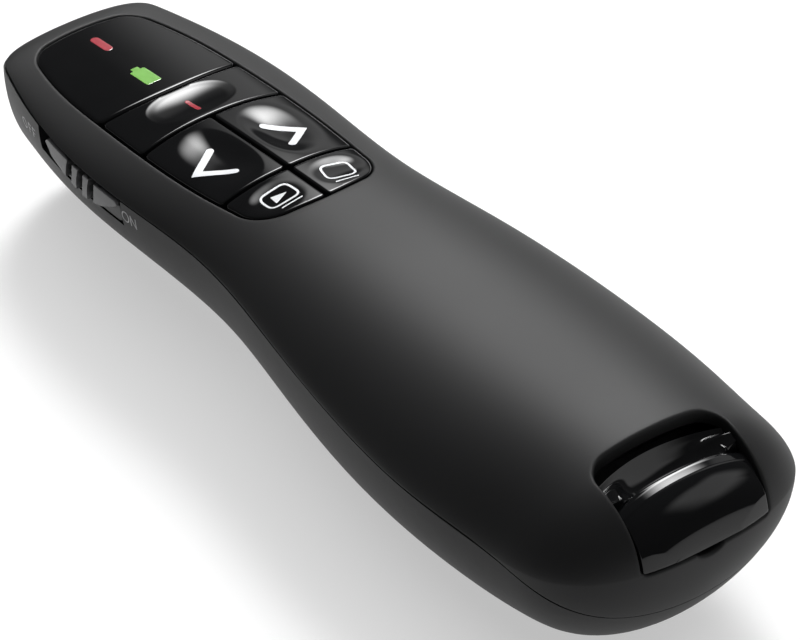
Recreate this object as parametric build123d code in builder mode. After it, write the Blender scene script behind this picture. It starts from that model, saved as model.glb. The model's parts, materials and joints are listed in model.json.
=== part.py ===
"""Wireless presentation clicker, in millimetres.

The laser points along +Y, +Z is up through the keys and +X is the user's right.
The flat of the belly lies on z = 0 and the origin is under the middle of the body.
"""

import os

import numpy as np
from build123d import *

# ---------------------------------------------------------------- body form
LENGTH = 115.5
WALL = 1.6
SPLIT_GAP = 0.1
TONGUE = 0.75
TONGUE_RISE = 1.1
TONGUE_PLAY = 0.1
TONGUE_NOSE = 52.0
LEDGE = 1.0

# (y, value) stations that the moulded form passes through
HALF_WIDTHS = ((-57.75, 17.6), (-48, 17.8), (-36, 18.9), (-20, 18.6), (-4, 16.6), (12, 14.35), (28, 14.65), (43, 13.6), (57.75, 9.7))
TOP_LINE = ((-57.75, 27.25), (-50, 27.25), (-42, 27.3), (-30, 26.8), (-5, 25.7), (25, 23.6), (50, 21.0))
WAIST_LINE = ((-57.75, 18.5), (-48, 17.8), (-30, 18.0), (0, 19.7), (30, 19.4), (57, 19.6))
BELLY_LINE = ((-57.75, 6.8), (-48, 2.4), (-34, 0.5), (-15, -0.4), (10, 3.65), (35, 4.6), (57.75, 2.4))
SPLIT_LINE = ((-60, 6.0), (-57.5, 9.0), (-54, 13.2), (-49, 16.4), (-42, 17.7), (-30, 18.0), (0, 19.7), (30, 19.4), (60, 19.6))

# how the form closes at its ends: length of the rounding and exponent of its curve
PLAN_NOSE, PLAN_TAIL = (3.6, 3.0), (12.5, 2.6)
TOP_NOSE, TOP_TAIL = (2.9, 3.0), (9.4, 1.95)
BELLY_NOSE, BELLY_TAIL = (2.9, 2.5), (12.3, 2.5)
CROWN_OUT, CROWN_IN = 2.35, 1.32
BELLY_CURVE = 1.93
CROWN_HANDLES = (0.12, 0.739)
BELLY_HANDLES = (0.51, 0.546)
END_SLICE = 0.02

# ---------------------------------------------------------------- key cluster
CLUSTER_FAR = 55.2
CLUSTER_FAR_CORNER = (6.95, 54.35)
CLUSTER_SIDE = ((9.0, 45.6), (9.6, 37.5), (9.8, 29.0), (9.1, 15.0), (8.8, 12.0))
CLUSTER_NEAR = 7.6
CLUSTER_NEAR_CORNER = (8.7, 9.0)
CORNER_FAR_R = 2.0
CORNER_NEAR_R = 3.4
WINDOW_EDGE, WINDOW_BOW = 37.4, -0.6
LASER_EDGE, LASER_BOW = 29.0, 0.4
ARROW_EDGE = 15.0
KEY_GAP = 0.45
CLUSTER_GAP = 0.25
WINDOW_GAP = 0.06
WINDOW_THICK = 1.5
LEDGE_REACH = 1.2
WINDOW_SEAT = 17.4
SEAT_GAP = 0.15
RIM_REACH = 1.5
SKIRT_WALL = 1.0
SKIRT_BOTTOM = 19.5
KEY_TRAVEL = 0.4
DISH_DEPTH = 0.5
DISH_HALF = 4.6
DISH_Y = 22.0
PILL_LENGTH, PILL_WIDTH, PILL_RISE = 8.8, 4.8, 0.7
PILL_ROUND = 0.6
PILL_Y = 34.2
STEM_R = 1.4
STEM_HEAD_R, STEM_HEAD = 1.9, 0.4
STEM_PLAY = 0.35

# ---------------------------------------------------------------- circuit board and key frame
BOARD_THICK = 1.2
BOARD_TOP = 14.6
BOARD_REAR, BOARD_BEND, BOARD_NOSE = 8.2, 30.0, 53.6
BOARD_HALF, BOARD_NOSE_HALF = 11.0, 8.0
SWITCH_BODY = 4.2
SWITCH_HEIGHT = 2.2
PLUNGER_R = 1.0
PLUNGER_RISE = 0.6
PLUNGER_DEPTH = 1.1
PLUNGER_FIT = 0.05
FRAME_BOTTOM, FRAME_THICK = 18.1, 0.8
FRAME_REAR, FRAME_STEP, FRAME_NOSE = 8.9, 23.5, 39.4
FRAME_HALF, FRAME_NARROW = 11.2, 10.2
LEG_SPOTS = ((9.0, 10.6), (7.5, 40.6))
LEG_R, LEG_EAR = 1.5, 1.9
BOARD_SCREW_R, BOARD_SCREW_LENGTH = 0.6, 4.0
SCREW_HEAD_R, SCREW_HEAD = 1.1, 0.8
SCREW_PLAY = 0.05
POST_SPOTS = ((9.3, 14.0), (6.4, 50.5))
POST_R = 1.0
PAD_REAR = (9.8, 11.5, 1.0, 4.0)
PAD_NOSE = (8.3, 38.2, 1.4, 0.8)
KEY_SPOTS = {"laser": (0, 33.2), "back": (-4.9, 21.6), "next": (4.9, 21.6), "slideshow": (-4.1, 11.4), "blank": (4.1, 11.4)}
GUIDE_RED, GUIDE_GREEN = (0, 50.5, 1.6, 3.8), (-0.4, 41.5, 2.4, 3.6)
LED_SIZE = (1.0, 1.6, 0.6)

# ---------------------------------------------------------------- power switch
KNOB_REAR, KNOB_NOSE = 26.7, 42.0
KNOB_TRAVEL = 1.8
KNOB_BOTTOM, KNOB_TOP = 16.1, 19.0
KNOB_PLAY = 0.2
KNOB_DEPTH = 2.7
KNOB_ROUND = 1.0
KNOB_FLANGE, KNOB_FLANGE_GAP = 0.6, 0.5
KNOB_FLANGE_REACH = 1.1
RIB_SPOTS = (36.4, 34.2, 32.0)
RIB_WIDTH, RIB_DEPTH = 0.9, 0.6
LEVER = 1.5
LEVER_Y, LEVER_Z = 34.4, 16.9
LEVER_REACH = 2.2
SLIDER_LENGTH, SLIDER_WIDTH, SLIDER_HEIGHT = 8.6, 3.4, 3.0
SLIDER_X = -8.4

# ---------------------------------------------------------------- laser
LASER_Z = 10.2
LASER_R = 3.0
LASER_REAR, LASER_NOSE = 43.6, 54.2
LASER_BORE = 2.2
LENS_THICK = 1.0
SADDLE_SPOTS = (46.0, 52.0)
SADDLE_HALF = 4.6
APERTURE_R = 3.4
APERTURE_HOLE = 1.6
APERTURE_REAR, APERTURE_NOSE = 54.9, 57.0

# ---------------------------------------------------------------- cells and door
CELL_R, CELL_LENGTH = 5.25, 43.5
CELL_NUB_R, CELL_NUB = 1.9, 1.0
CELL_X, CELL_Z = 5.4, 10.9
PLATE = 0.4
PLATE_LOW, PLATE_HIGH = 8.2, 15.0
SPRING_LENGTH, SPRING_SHEET = 2.2, 0.3
BAY_WALL = 1.0
BAY_REAR = -48.6
BAY_NOSE = BAY_REAR + 2 * PLATE + SPRING_LENGTH + CELL_NUB + CELL_LENGTH + 0.4
DOOR_HALF, DOOR_REAR, DOOR_NOSE = 11.2, -48.2, 9.4
DOOR_GAP = 0.2
DOOR_CORNER = 2.5
HOOK_X, HOOK_WIDTH, HOOK_REACH, HOOK_THICK, HOOK_GAP = 4.0, 3.0, 1.6, 0.9, 0.3
RIB_TOP = 5.4
DOOR_RIBS = (2.0, 7.4)
LATCH_HALF, LATCH_THICK, LATCH_TOP = 2.0, 0.8, 6.2
GRIP_LINES = (-44.6, -42.8, -41.0)
SHELF_Z, SHELF_THICK = 10.8, 1.0
CASE_SCREW = (7.6, 6.0)
CASE_SCREW_R, CASE_SCREW_BOSS = 0.9, 1.9
CASE_HEAD_R, CASE_HEAD = 1.6, 1.1
LEAD_R, LEAD_X, LEAD_Z = 0.4, 3.0, 12.6

# ---------------------------------------------------------------- receiver and dock
RX_HALF, RX_BOTTOM, RX_TOP = 7.8, 18.6, 23.5
RX_CAP_FRONT = -45.6
RX_CASE_FRONT = -8.8
RX_WALL = 1.0
RX_ROUND = 1.2
RX_GAP = 0.3
RX_TRAVEL = 65.0
USB_HALF, USB_THICK, USB_LENGTH = 6.0, 4.5, 12.0
USB_SHEET = 0.3
USB_TONGUE, USB_TONGUE_HALF = 1.9, 5.5
USB_PIN, USB_PIN_SHEET, USB_PIN_SPOTS = 1.2, 0.2, (-3.5, -1.2, 1.2, 3.5)
RX_BOARD = 0.8
SLOT_HALF = 8.5
SLOT_FRONT = -47.1
SLOT_BOTTOM = 18.3
SLOT_CORNER = 2.6
NOTCH_HALF = 6.85
# side view of the receiver's cap, tail to the left: (y, z)
CAP_EARS = ((-45.6, 24.3), (-46.1, 24.6), (-52.6, 24.6), (-54.5, 23.95), (-56.2, 22.4), (-57.2, 20.7), (-57.75, 18.6))
CAP_NOTCH = ((-47.5, 24.6), (-49.9, 22.8), (-50.2, 21.6), (-52.0, 21.6), (-52.15, 24.3), (-52.6, 24.75))
SHOULDER = ((6.85, -49.9, 24.4), (6.5, -52.4, 24.7), (8.05, -55.3, 22.3))
USB_POCKET = (13.2, 14.0, 23.7)
DOCK_FLOOR, DOCK_THICK = 18.3, 1.0
DOCK_HALF, DOCK_NARROW = 9.1, 7.3
DOCK_RAIL, DOCK_RAIL_TOP = 1.0, 21.5
DOCK_STEP, DOCK_NOSE = -8.4, 4.0


# ================================================================ form of the body
def through(stations, y):
    """Natural cubic through (y, value) stations."""
    ys = np.array([s[0] for s in stations], float)
    vs = np.array([s[1] for s in stations], float)
    n = len(ys)
    h = np.diff(ys)
    system = np.eye(n)
    load = np.zeros(n)
    for i in range(1, n - 1):
        system[i, i - 1 : i + 2] = h[i - 1], 2 * (h[i - 1] + h[i]), h[i]
        load[i] = 6 * ((vs[i + 1] - vs[i]) / h[i] - (vs[i] - vs[i - 1]) / h[i - 1])
    bend = np.linalg.solve(system, load)
    i = int(np.clip(np.searchsorted(ys, y) - 1, 0, n - 2))
    a, b = (ys[i + 1] - y) / h[i], (y - ys[i]) / h[i]
    return float(a * vs[i] + b * vs[i + 1] + ((a**3 - a) * bend[i] + (b**3 - b) * bend[i + 1]) * h[i] ** 2 / 6)


def closing(y, nose, tail, inset):
    """1 along the body, falling to 0 at its ends along a superellipse."""
    end = LENGTH / 2 - inset
    length, power = nose if y > 0 else tail
    into = max(0.0, (abs(y) - (end - length)) / length)
    return (1 - min(into, 1.0) ** power) ** (1 / power)


def girth(y, inset=0.0):
    """Half width, waist height, top and bottom of the section at y, pulled in by inset."""
    half = (through(HALF_WIDTHS, y) - inset) * closing(y, PLAN_NOSE, PLAN_TAIL, inset)
    waist = through(WAIST_LINE, y)
    top = waist + (through(TOP_LINE, y) - inset - waist) * closing(y, TOP_NOSE, TOP_TAIL, inset)
    bottom = waist - (waist - through(BELLY_LINE, y) - inset) * closing(y, BELLY_NOSE, BELLY_TAIL, inset)
    return half, waist, top, bottom


def crown(x, y, inset=0.0):
    """Height of the body's upper surface over (x, y)."""
    half, waist, top, _ = girth(y, inset)
    across = min(abs(x) / half, 1.0)
    return waist + (top - waist) * (1 - across**CROWN_OUT) ** (1 / CROWN_IN)


def belly(x, y, inset=0.0):
    """Height of the body's lower surface under (x, y)."""
    half, waist, _, bottom = girth(y, inset)
    across = min(abs(x) / half, 1.0)
    return waist - (waist - bottom) * (1 - across**BELLY_CURVE) ** (1 / BELLY_CURVE)


def side(y, z, inset=0.0):
    """Half width of the body at height z below the waist."""
    half, waist, _, bottom = girth(y, inset)
    down = min(max(waist - z, 0.0) / (waist - bottom), 1.0)
    return half * (1 - down**BELLY_CURVE) ** (1 / BELLY_CURVE)


def wire(y, inset):
    """The section at y as four curves: crown left and right, belly right and left."""
    half, waist, top, bottom = girth(y, inset)
    up, in_up = CROWN_HANDLES[0] * (top - waist), CROWN_HANDLES[1] * half
    down, in_down = BELLY_HANDLES[0] * (bottom - waist), BELLY_HANDLES[1] * half
    runs = (
        ((-half, 0), (-half, up), (-in_up, top - waist), (0, top - waist)),
        ((0, top - waist), (in_up, top - waist), (half, up), (half, 0)),
        ((half, 0), (half, down), (in_down, bottom - waist), (0, bottom - waist)),
        ((0, bottom - waist), (-in_down, bottom - waist), (-half, down), (-half, 0)),
    )
    return Wire([Edge.make_bezier(*[Vector(x, y, waist + z) for x, z in run]) for run in runs])


def form(inset):
    """The whole body as one smooth solid through its sections; pulled in, it ends flat."""
    end = LENGTH / 2 - inset
    tail = [-end + d for d in (END_SLICE, 0.2, 0.6, 1.3, 2.4, 4.0, 6.2, 9, 12.5)]
    middle = [-36, -25, -14, -3, 10, 24, 38, 48]
    nose = [end - d for d in (3.6, 2.3, 1.4, 0.75, 0.3, 0.08, END_SLICE)]
    if inset > 0:
        tail, nose = tail[2:], nose[:-3]
    return Solid.make_loft([wire(y, inset) for y in tail + middle + nose])


outer_form = form(0)
inner_form = form(WALL)
groove_form = form(TONGUE)
tongue_form = form(TONGUE + TONGUE_PLAY)
ledge_form = form(WALL + LEDGE)


def prism(outline, bottom=-5.0, top=35.0):
    """A plan outline stood up between two heights."""
    with BuildPart() as block:
        with BuildSketch(Plane.XY.offset(bottom)):
            add(outline)
        extrude(amount=top - bottom)
    return block.part


def block(x, y, z):
    """A box between pairs of coordinates."""
    size = (x[1] - x[0], y[1] - y[0], z[1] - z[0])
    return Pos((x[0] + x[1]) / 2, (y[0] + y[1]) / 2, (z[0] + z[1]) / 2) * Box(*size, mode=Mode.PRIVATE)


def rod(x, y, bottom, top, radius):
    """An upright cylinder."""
    return Pos(x, y, (bottom + top) / 2) * Cylinder(radius, top - bottom, mode=Mode.PRIVATE)


def barrel(x, z, rear, nose, radius):
    """A cylinder along the body."""
    return Pos(x, (rear + nose) / 2, z) * Rot(90, 0, 0) * Cylinder(radius, nose - rear, mode=Mode.PRIVATE)


def below_split(shift):
    """Everything under the split line of the shells, moved up by shift."""
    with BuildPart() as under:
        with BuildSketch(Plane.YZ):
            with BuildLine():
                edge = [(y, z + shift) for y, z in SPLIT_LINE]
                Spline(*edge)
                Polyline(edge[-1], (60, -5), (-60, -5), edge[0])
            make_face()
        extrude(amount=25, both=True)
    return under.part


# ================================================================ plan outlines
def cluster_outline(grow=0.0):
    """The opening of the key cluster, from the window's far edge to the small keys."""
    far_x, far_y = CLUSTER_FAR_CORNER[0] + grow, CLUSTER_FAR_CORNER[1] + grow
    near_x, near_y = CLUSTER_NEAR_CORNER[0] + grow, CLUSTER_NEAR_CORNER[1] - grow
    flank = [(x + grow, y) for x, y in CLUSTER_SIDE]
    with BuildSketch() as outline:
        with BuildLine():
            ThreePointArc((-far_x, far_y), (0, CLUSTER_FAR + grow), (far_x, far_y))
            Spline((far_x, far_y), *flank, (near_x, near_y))
            ThreePointArc((near_x, near_y), (0, CLUSTER_NEAR - grow), (-near_x, near_y))
            Spline((-near_x, near_y), *[(-x, y) for x, y in reversed(flank)], (-far_x, far_y))
        make_face()
        fillet(outline.vertices().sort_by(Axis.Y)[:2], CORNER_NEAR_R + grow)
        fillet(outline.vertices().sort_by(Axis.Y)[-2:], CORNER_FAR_R + grow)
    return outline.sketch


def band(outline, rear, rear_bow, nose, nose_bow, left=-12.0, right=12.0):
    """The stretch of an outline between two gently bowed edges across it."""
    with BuildSketch() as piece:
        add(outline)
        with BuildSketch(mode=Mode.INTERSECT):
            with BuildLine():
                ends = 9.7
                Line((-12, rear), (-ends, rear))
                low = ThreePointArc((-ends, rear), (0, rear + (rear_bow or 0.001)), (ends, rear))
                Polyline(low @ 1, (12, rear), (12, nose), (ends, nose))
                high = ThreePointArc((ends, nose), (0, nose + (nose_bow or 0.001)), (-ends, nose))
                Polyline(high @ 1, (-12, nose), (-12, rear))
            make_face()
        with BuildSketch(mode=Mode.INTERSECT):
            with Locations(((left + right) / 2, 0)):
                Rectangle(right - left, 200)
    return piece.sketch


half_gap = KEY_GAP / 2
key_outline = cluster_outline(-CLUSTER_GAP)
core_outline = cluster_outline(-CLUSTER_GAP - SKIRT_WALL)
window_outline = band(cluster_outline(-WINDOW_GAP), WINDOW_EDGE + half_gap, WINDOW_BOW, 60, 0)


def key_bands(inner):
    """The five keys' outlines, or with inner the hollows inside their skirts."""
    source = core_outline if inner else key_outline
    g = half_gap + (SKIRT_WALL if inner else 0)
    return {
        "laser": band(source, LASER_EDGE + g, LASER_BOW, WINDOW_EDGE - g, WINDOW_BOW),
        "back": band(source, ARROW_EDGE + g, 0, LASER_EDGE - g, LASER_BOW, right=-g),
        "next": band(source, ARROW_EDGE + g, 0, LASER_EDGE - g, LASER_BOW, left=g),
        "slideshow": band(source, 0, 0, ARROW_EDGE - g, 0, right=-g),
        "blank": band(source, 0, 0, ARROW_EDGE - g, 0, left=g),
    }


key_outlines = key_bands(False)
key_hollows = key_bands(True)

with BuildSketch() as slot_outline:
    with Locations((0, SLOT_FRONT - 10)):
        Rectangle(2 * SLOT_HALF, 20)
    fillet(slot_outline.vertices().sort_by(Axis.Y)[-2:], SLOT_CORNER)


# ================================================================ shells
both_sides = (-1, 1)

collar_outline = band(cluster_outline(LEDGE_REACH), WINDOW_EDGE + half_gap, WINDOW_BOW, 60, 0)
bore_outline = band(cluster_outline(-LEDGE_REACH), WINDOW_EDGE + half_gap + LEDGE_REACH, WINDOW_BOW, 60, 0)
with BuildPart(mode=Mode.PRIVATE) as window_ledge:
    add(outer_form)
    add(prism(collar_outline, WINDOW_SEAT), mode=Mode.INTERSECT)
    add(prism(bore_outline, 5), mode=Mode.SUBTRACT)
    add(ledge_form, mode=Mode.SUBTRACT)
    with BuildPart(mode=Mode.SUBTRACT):
        add(prism(cluster_outline(), 15))
        add(inner_form, mode=Mode.SUBTRACT)

with BuildPart(mode=Mode.PRIVATE) as top_posts:
    for s in both_sides:
        add(rod(s * CASE_SCREW[0], CASE_SCREW[1], SHELF_Z + SHELF_THICK, 30, CASE_SCREW_BOSS))
        for x, y, width, length in (PAD_REAR, PAD_NOSE):
            add(block((s * x - width / 2, s * x + width / 2), (y - length / 2, y + length / 2), (FRAME_BOTTOM + FRAME_THICK, 30)))
    add(form(WALL / 2), mode=Mode.INTERSECT)

with BuildPart() as top_shell:
    add(outer_form)
    add(inner_form, mode=Mode.SUBTRACT)
    add(below_split(SPLIT_GAP / 2), mode=Mode.SUBTRACT)
    with BuildPart(mode=Mode.SUBTRACT):
        add(groove_form)
        add(below_split(TONGUE_RISE + TONGUE_PLAY), mode=Mode.INTERSECT)
        add(prism(cluster_outline(RIM_REACH), 10), mode=Mode.SUBTRACT)
        add(block((-20, 20), (TONGUE_NOSE + 2 * TONGUE_PLAY, 60), (0, 30)), mode=Mode.SUBTRACT)
    with BuildPart() as posts_clear:
        add(top_posts.part)
        add(prism(cluster_outline(), 21.0), mode=Mode.SUBTRACT)
    add(prism(cluster_outline(), 15), mode=Mode.SUBTRACT)
    add(window_ledge.part)
    with BuildPart(mode=Mode.SUBTRACT):
        add(prism(slot_outline.sketch, SLOT_BOTTOM))
    add(block((-USB_POCKET[0] / 2, USB_POCKET[0] / 2), (DOCK_NOSE + 0.4 - USB_POCKET[1], DOCK_NOSE + 0.4), (15, USB_POCKET[2])), mode=Mode.SUBTRACT)
    for s in both_sides:
        add(rod(s * CASE_SCREW[0], CASE_SCREW[1], 0, 21, CASE_SCREW_R + SCREW_PLAY), mode=Mode.SUBTRACT)
top_case = top_shell.part.solids().sort_by(SortBy.VOLUME)[-1]
top_case.label = "top_shell"


opening = block((-DOOR_HALF, DOOR_HALF), (DOOR_REAR, DOOR_NOSE), (-5, SHELF_Z))
opening = opening.fillet(DOOR_CORNER, opening.edges().filter_by(Axis.Z))

with BuildPart() as bottom_shell:
    add(outer_form)
    add(below_split(-SPLIT_GAP / 2), mode=Mode.INTERSECT)
    with BuildPart() as tongue:
        add(tongue_form)
        add(below_split(TONGUE_RISE), mode=Mode.INTERSECT)
        add(prism(cluster_outline(RIM_REACH + 2 * TONGUE_PLAY), 10), mode=Mode.SUBTRACT)
        add(block((-20, 20), (TONGUE_NOSE, 60), (SLOT_BOTTOM, 30)), mode=Mode.SUBTRACT)
    add(inner_form, mode=Mode.SUBTRACT)
    with BuildPart() as fittings:
        add(block((-11.5, 11.5), (BAY_REAR - BAY_WALL, BAY_REAR), (0, DOCK_FLOOR - DOCK_THICK)))
        add(block((-13, 13), (BAY_NOSE, BAY_NOSE + BAY_WALL), (0, DOCK_FLOOR - DOCK_THICK)))
        add(block((-16, 16), (BAY_NOSE, DOOR_NOSE - 0.1), (SHELF_Z, SHELF_Z + SHELF_THICK)))
        for s in both_sides:
            for x, y in POST_SPOTS:
                add(rod(s * x, y, 0, BOARD_TOP - BOARD_THICK, POST_R))
        for y in SADDLE_SPOTS:
            add(block((-SADDLE_HALF, SADDLE_HALF), (y - 0.6, y + 0.6), (0, LASER_Z)))
        add(groove_form, mode=Mode.INTERSECT)
    add(opening, mode=Mode.SUBTRACT)
    add(prism(cluster_outline(LEDGE_REACH + SEAT_GAP), WINDOW_SEAT - SEAT_GAP), mode=Mode.SUBTRACT)
    add(block((-20, 20), (-60, 60), (-5, 0)), mode=Mode.SUBTRACT)
    add(block((-20, -10), (KNOB_REAR - KNOB_PLAY, KNOB_NOSE + KNOB_TRAVEL + KNOB_PLAY), (KNOB_BOTTOM - KNOB_PLAY, 22)), mode=Mode.SUBTRACT)
    add(barrel(0, LASER_Z, LASER_REAR - 2, APERTURE_REAR, LASER_R + SCREW_PLAY), mode=Mode.SUBTRACT)
    add(barrel(0, LASER_Z, APERTURE_REAR - 0.5, 60, APERTURE_R + SCREW_PLAY), mode=Mode.SUBTRACT)
    for s in both_sides:
        add(barrel(s * LEAD_X, LEAD_Z, BAY_NOSE - 1, BAY_NOSE + BAY_WALL + 1, LEAD_R + 0.2), mode=Mode.SUBTRACT)
        add(rod(s * CASE_SCREW[0], CASE_SCREW[1], SHELF_Z - 1, SHELF_Z + SHELF_THICK + 1, CASE_SCREW_R + 0.15), mode=Mode.SUBTRACT)
bottom_shell.part.label = "bottom_shell"

with BuildPart() as battery_door:
    add(outer_form)
    add(inner_form, mode=Mode.SUBTRACT)
    with BuildPart() as door_inside:
        for x in DOOR_RIBS:
            for s in both_sides:
                add(block((s * x - 0.5, s * x + 0.5), (DOOR_REAR + 3, BAY_NOSE - 3), (0, RIB_TOP)))
        add(block((-LATCH_HALF, LATCH_HALF), (DOOR_REAR + DOOR_GAP, DOOR_REAR + DOOR_GAP + LATCH_THICK), (0, LATCH_TOP)))
        add(form(TONGUE), mode=Mode.INTERSECT)
    door_plan = block((-DOOR_HALF + DOOR_GAP, DOOR_HALF - DOOR_GAP), (DOOR_REAR + DOOR_GAP, DOOR_NOSE - DOOR_GAP), (0, SHELF_Z - DOOR_GAP))
    add(door_plan.fillet(DOOR_CORNER, door_plan.edges().filter_by(Axis.Z)), mode=Mode.INTERSECT)
    for y in GRIP_LINES:
        add(block((-4.5, 4.5), (y - 0.4, y + 0.4), (0, 1.0)), mode=Mode.SUBTRACT)
    for s in both_sides:
        floor = belly(HOOK_X + HOOK_WIDTH / 2, DOOR_NOSE + HOOK_REACH, WALL) + HOOK_GAP
        add(block((s * HOOK_X - HOOK_WIDTH / 2, s * HOOK_X + HOOK_WIDTH / 2), (DOOR_NOSE - 3, DOOR_NOSE + HOOK_REACH), (floor, floor + HOOK_THICK)))
        add(block((s * HOOK_X - HOOK_WIDTH / 2, s * HOOK_X + HOOK_WIDTH / 2), (DOOR_NOSE - 3, DOOR_NOSE - DOOR_GAP), (floor - 1.2, floor + HOOK_THICK)))
battery_door.part.label = "battery_door"

# ================================================================ window, keys and their frame
with BuildPart() as window:
    add(outer_form)
    add(form(WINDOW_THICK), mode=Mode.SUBTRACT)
    add(prism(window_outline, 15), mode=Mode.INTERSECT)
window.part.label = "window"


def pill_dome():
    """The long dome on the laser button, a lens shape turned about an axis across the body."""
    radius = (PILL_WIDTH**2 / 4 + PILL_RISE**2) / (2 * PILL_RISE)
    low, half = radius - PILL_RISE, PILL_LENGTH / 2
    with BuildPart() as dome:
        with BuildSketch(Plane.XZ):
            with BuildLine():
                crest = Spline((-half - 0.6, low - 1.2), (-half, low), (-half * 0.6, radius - 0.1), (0, radius), (half * 0.6, radius - 0.1), (half, low), (half + 0.6, low - 1.2))
                Polyline(crest @ 1, (half + 0.6, low - 2), (-half - 0.6, low - 2), crest @ 0)
            make_face()
        revolve(axis=Axis.X)
        add(block((-10, 10), (-10, 10), (low - 1, 10)), mode=Mode.INTERSECT)
    return dome.part.moved(Location((0, PILL_Y, crown(0, PILL_Y) - low)))


def key(name):
    """A key: crown of the body over its outline, hollow inside its skirt, on a headed stem."""
    x, y = KEY_SPOTS[name]
    with BuildPart() as cap:
        add(outer_form)
        add(prism(key_outlines[name], SKIRT_BOTTOM), mode=Mode.INTERSECT)
        with BuildPart(mode=Mode.SUBTRACT):
            add(inner_form)
            add(prism(key_hollows[name], SKIRT_BOTTOM - 1), mode=Mode.INTERSECT)
        foot = BOARD_TOP + SWITCH_HEIGHT + PLUNGER_RISE
        add(rod(x, y, foot, crown(x, y, WALL) + 0.3, STEM_R))
        add(rod(x, y, foot, foot + STEM_HEAD, STEM_HEAD_R))
        if name in ("back", "next"):
            radius = (DISH_HALF**2 + DISH_DEPTH**2) / (2 * DISH_DEPTH)
            dish_x = -4.7 if x < 0 else 4.7
            add(Pos(dish_x, DISH_Y, crown(dish_x, DISH_Y) - DISH_DEPTH + radius) * Rot(90, 0, 0) * Sphere(radius, mode=Mode.PRIVATE), mode=Mode.SUBTRACT)
        if name == "laser":
            with BuildPart():
                add(pill_dome())
                add(prism(key_outlines[name], SKIRT_BOTTOM), mode=Mode.INTERSECT)
    cap.part.label = name + "_button"
    return cap.part


buttons = [key(name) for name in KEY_SPOTS]

with BuildPart() as key_frame:
    with BuildSketch(Plane.XY.offset(FRAME_BOTTOM)):
        with Locations((0, (FRAME_REAR + FRAME_STEP) / 2)):
            Rectangle(2 * FRAME_HALF, FRAME_STEP - FRAME_REAR)
        with Locations((0, (FRAME_REAR + FRAME_NOSE) / 2)):
            Rectangle(2 * FRAME_NARROW, FRAME_NOSE - FRAME_REAR)
        with Locations(*[(s * LEG_SPOTS[1][0], LEG_SPOTS[1][1]) for s in both_sides]):
            Circle(LEG_EAR)
    extrude(amount=FRAME_THICK)
    for s in both_sides:
        for x, y in LEG_SPOTS:
            add(rod(s * x, y, BOARD_TOP, FRAME_BOTTOM, LEG_R))
            add(rod(s * x, y, BOARD_TOP - 1, BOARD_TOP + BOARD_SCREW_LENGTH - BOARD_THICK + 0.3, BOARD_SCREW_R + SCREW_PLAY), mode=Mode.SUBTRACT)
    for x, y in KEY_SPOTS.values():
        add(rod(x, y, FRAME_BOTTOM - 1, FRAME_BOTTOM + 3, STEM_R + STEM_PLAY), mode=Mode.SUBTRACT)
key_frame.part.label = "key_frame"

# ================================================================ circuit board and what it carries
board_bottom = BOARD_TOP - BOARD_THICK
with BuildPart() as circuit_board:
    with BuildSketch(Plane.XY.offset(board_bottom)):
        with BuildLine():
            Polyline((-BOARD_HALF, BOARD_REAR), (BOARD_HALF, BOARD_REAR), (BOARD_HALF, BOARD_BEND), (BOARD_NOSE_HALF, BOARD_NOSE), (-BOARD_NOSE_HALF, BOARD_NOSE), (-BOARD_HALF, BOARD_BEND), close=True)
        make_face()
        fillet(vertices(), 1.0)
    extrude(amount=BOARD_THICK)
    for s in both_sides:
        for x, y in LEG_SPOTS:
            add(rod(s * x, y, board_bottom - 1, BOARD_TOP + 1, BOARD_SCREW_R + 0.15), mode=Mode.SUBTRACT)
circuit_board.part.label = "circuit_board"

switches = []
for name, (x, y) in KEY_SPOTS.items():
    half = SWITCH_BODY / 2
    top = BOARD_TOP + SWITCH_HEIGHT
    with BuildPart() as housing:
        add(block((x - half, x + half), (y - half, y + half), (BOARD_TOP, top)))
        fillet(housing.edges().filter_by(Axis.Z), 0.3)
        add(rod(x, y, top - PLUNGER_DEPTH - KEY_TRAVEL - 0.2, top + 1, PLUNGER_R + PLUNGER_FIT), mode=Mode.SUBTRACT)
    housing.part.label = name + "_switch"
    with BuildPart() as plunger:
        add(rod(x, y, top - PLUNGER_DEPTH, top + PLUNGER_RISE, PLUNGER_R))
    plunger.part.label = name + "_plunger"
    switches += [housing.part, plunger.part]

board_screws = []
for n, (s, (x, y)) in enumerate([(s, spot) for spot in LEG_SPOTS for s in both_sides]):
    with BuildPart() as screw:
        add(rod(s * x, y, board_bottom - SCREW_HEAD, board_bottom, SCREW_HEAD_R))
        add(rod(s * x, y, board_bottom - SCREW_HEAD, board_bottom + BOARD_SCREW_LENGTH, BOARD_SCREW_R))
        add(block((s * x - 0.7, s * x + 0.7), (y - 0.15, y + 0.15), (board_bottom - SCREW_HEAD, board_bottom - SCREW_HEAD + 0.4)), mode=Mode.SUBTRACT)
    screw.part.label = "board_screw_" + str(n + 1)
    board_screws.append(screw.part)

case_screws = []
for n, s in enumerate(both_sides):
    x, y = s * CASE_SCREW[0], CASE_SCREW[1]
    with BuildPart() as screw:
        add(rod(x, y, SHELF_Z - CASE_HEAD, SHELF_Z, CASE_HEAD_R))
        add(rod(x, y, SHELF_Z - CASE_HEAD, 20, CASE_SCREW_R))
        add(block((x - 1.0, x + 1.0), (y - 0.2, y + 0.2), (SHELF_Z - CASE_HEAD, SHELF_Z - CASE_HEAD + 0.6)), mode=Mode.SUBTRACT)
        add(block((x - 0.2, x + 0.2), (y - 1.0, y + 1.0), (SHELF_Z - CASE_HEAD, SHELF_Z - CASE_HEAD + 0.6)), mode=Mode.SUBTRACT)
    screw.part.label = "case_screw_" + str(n + 1)
    case_screws.append(screw.part)


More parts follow.
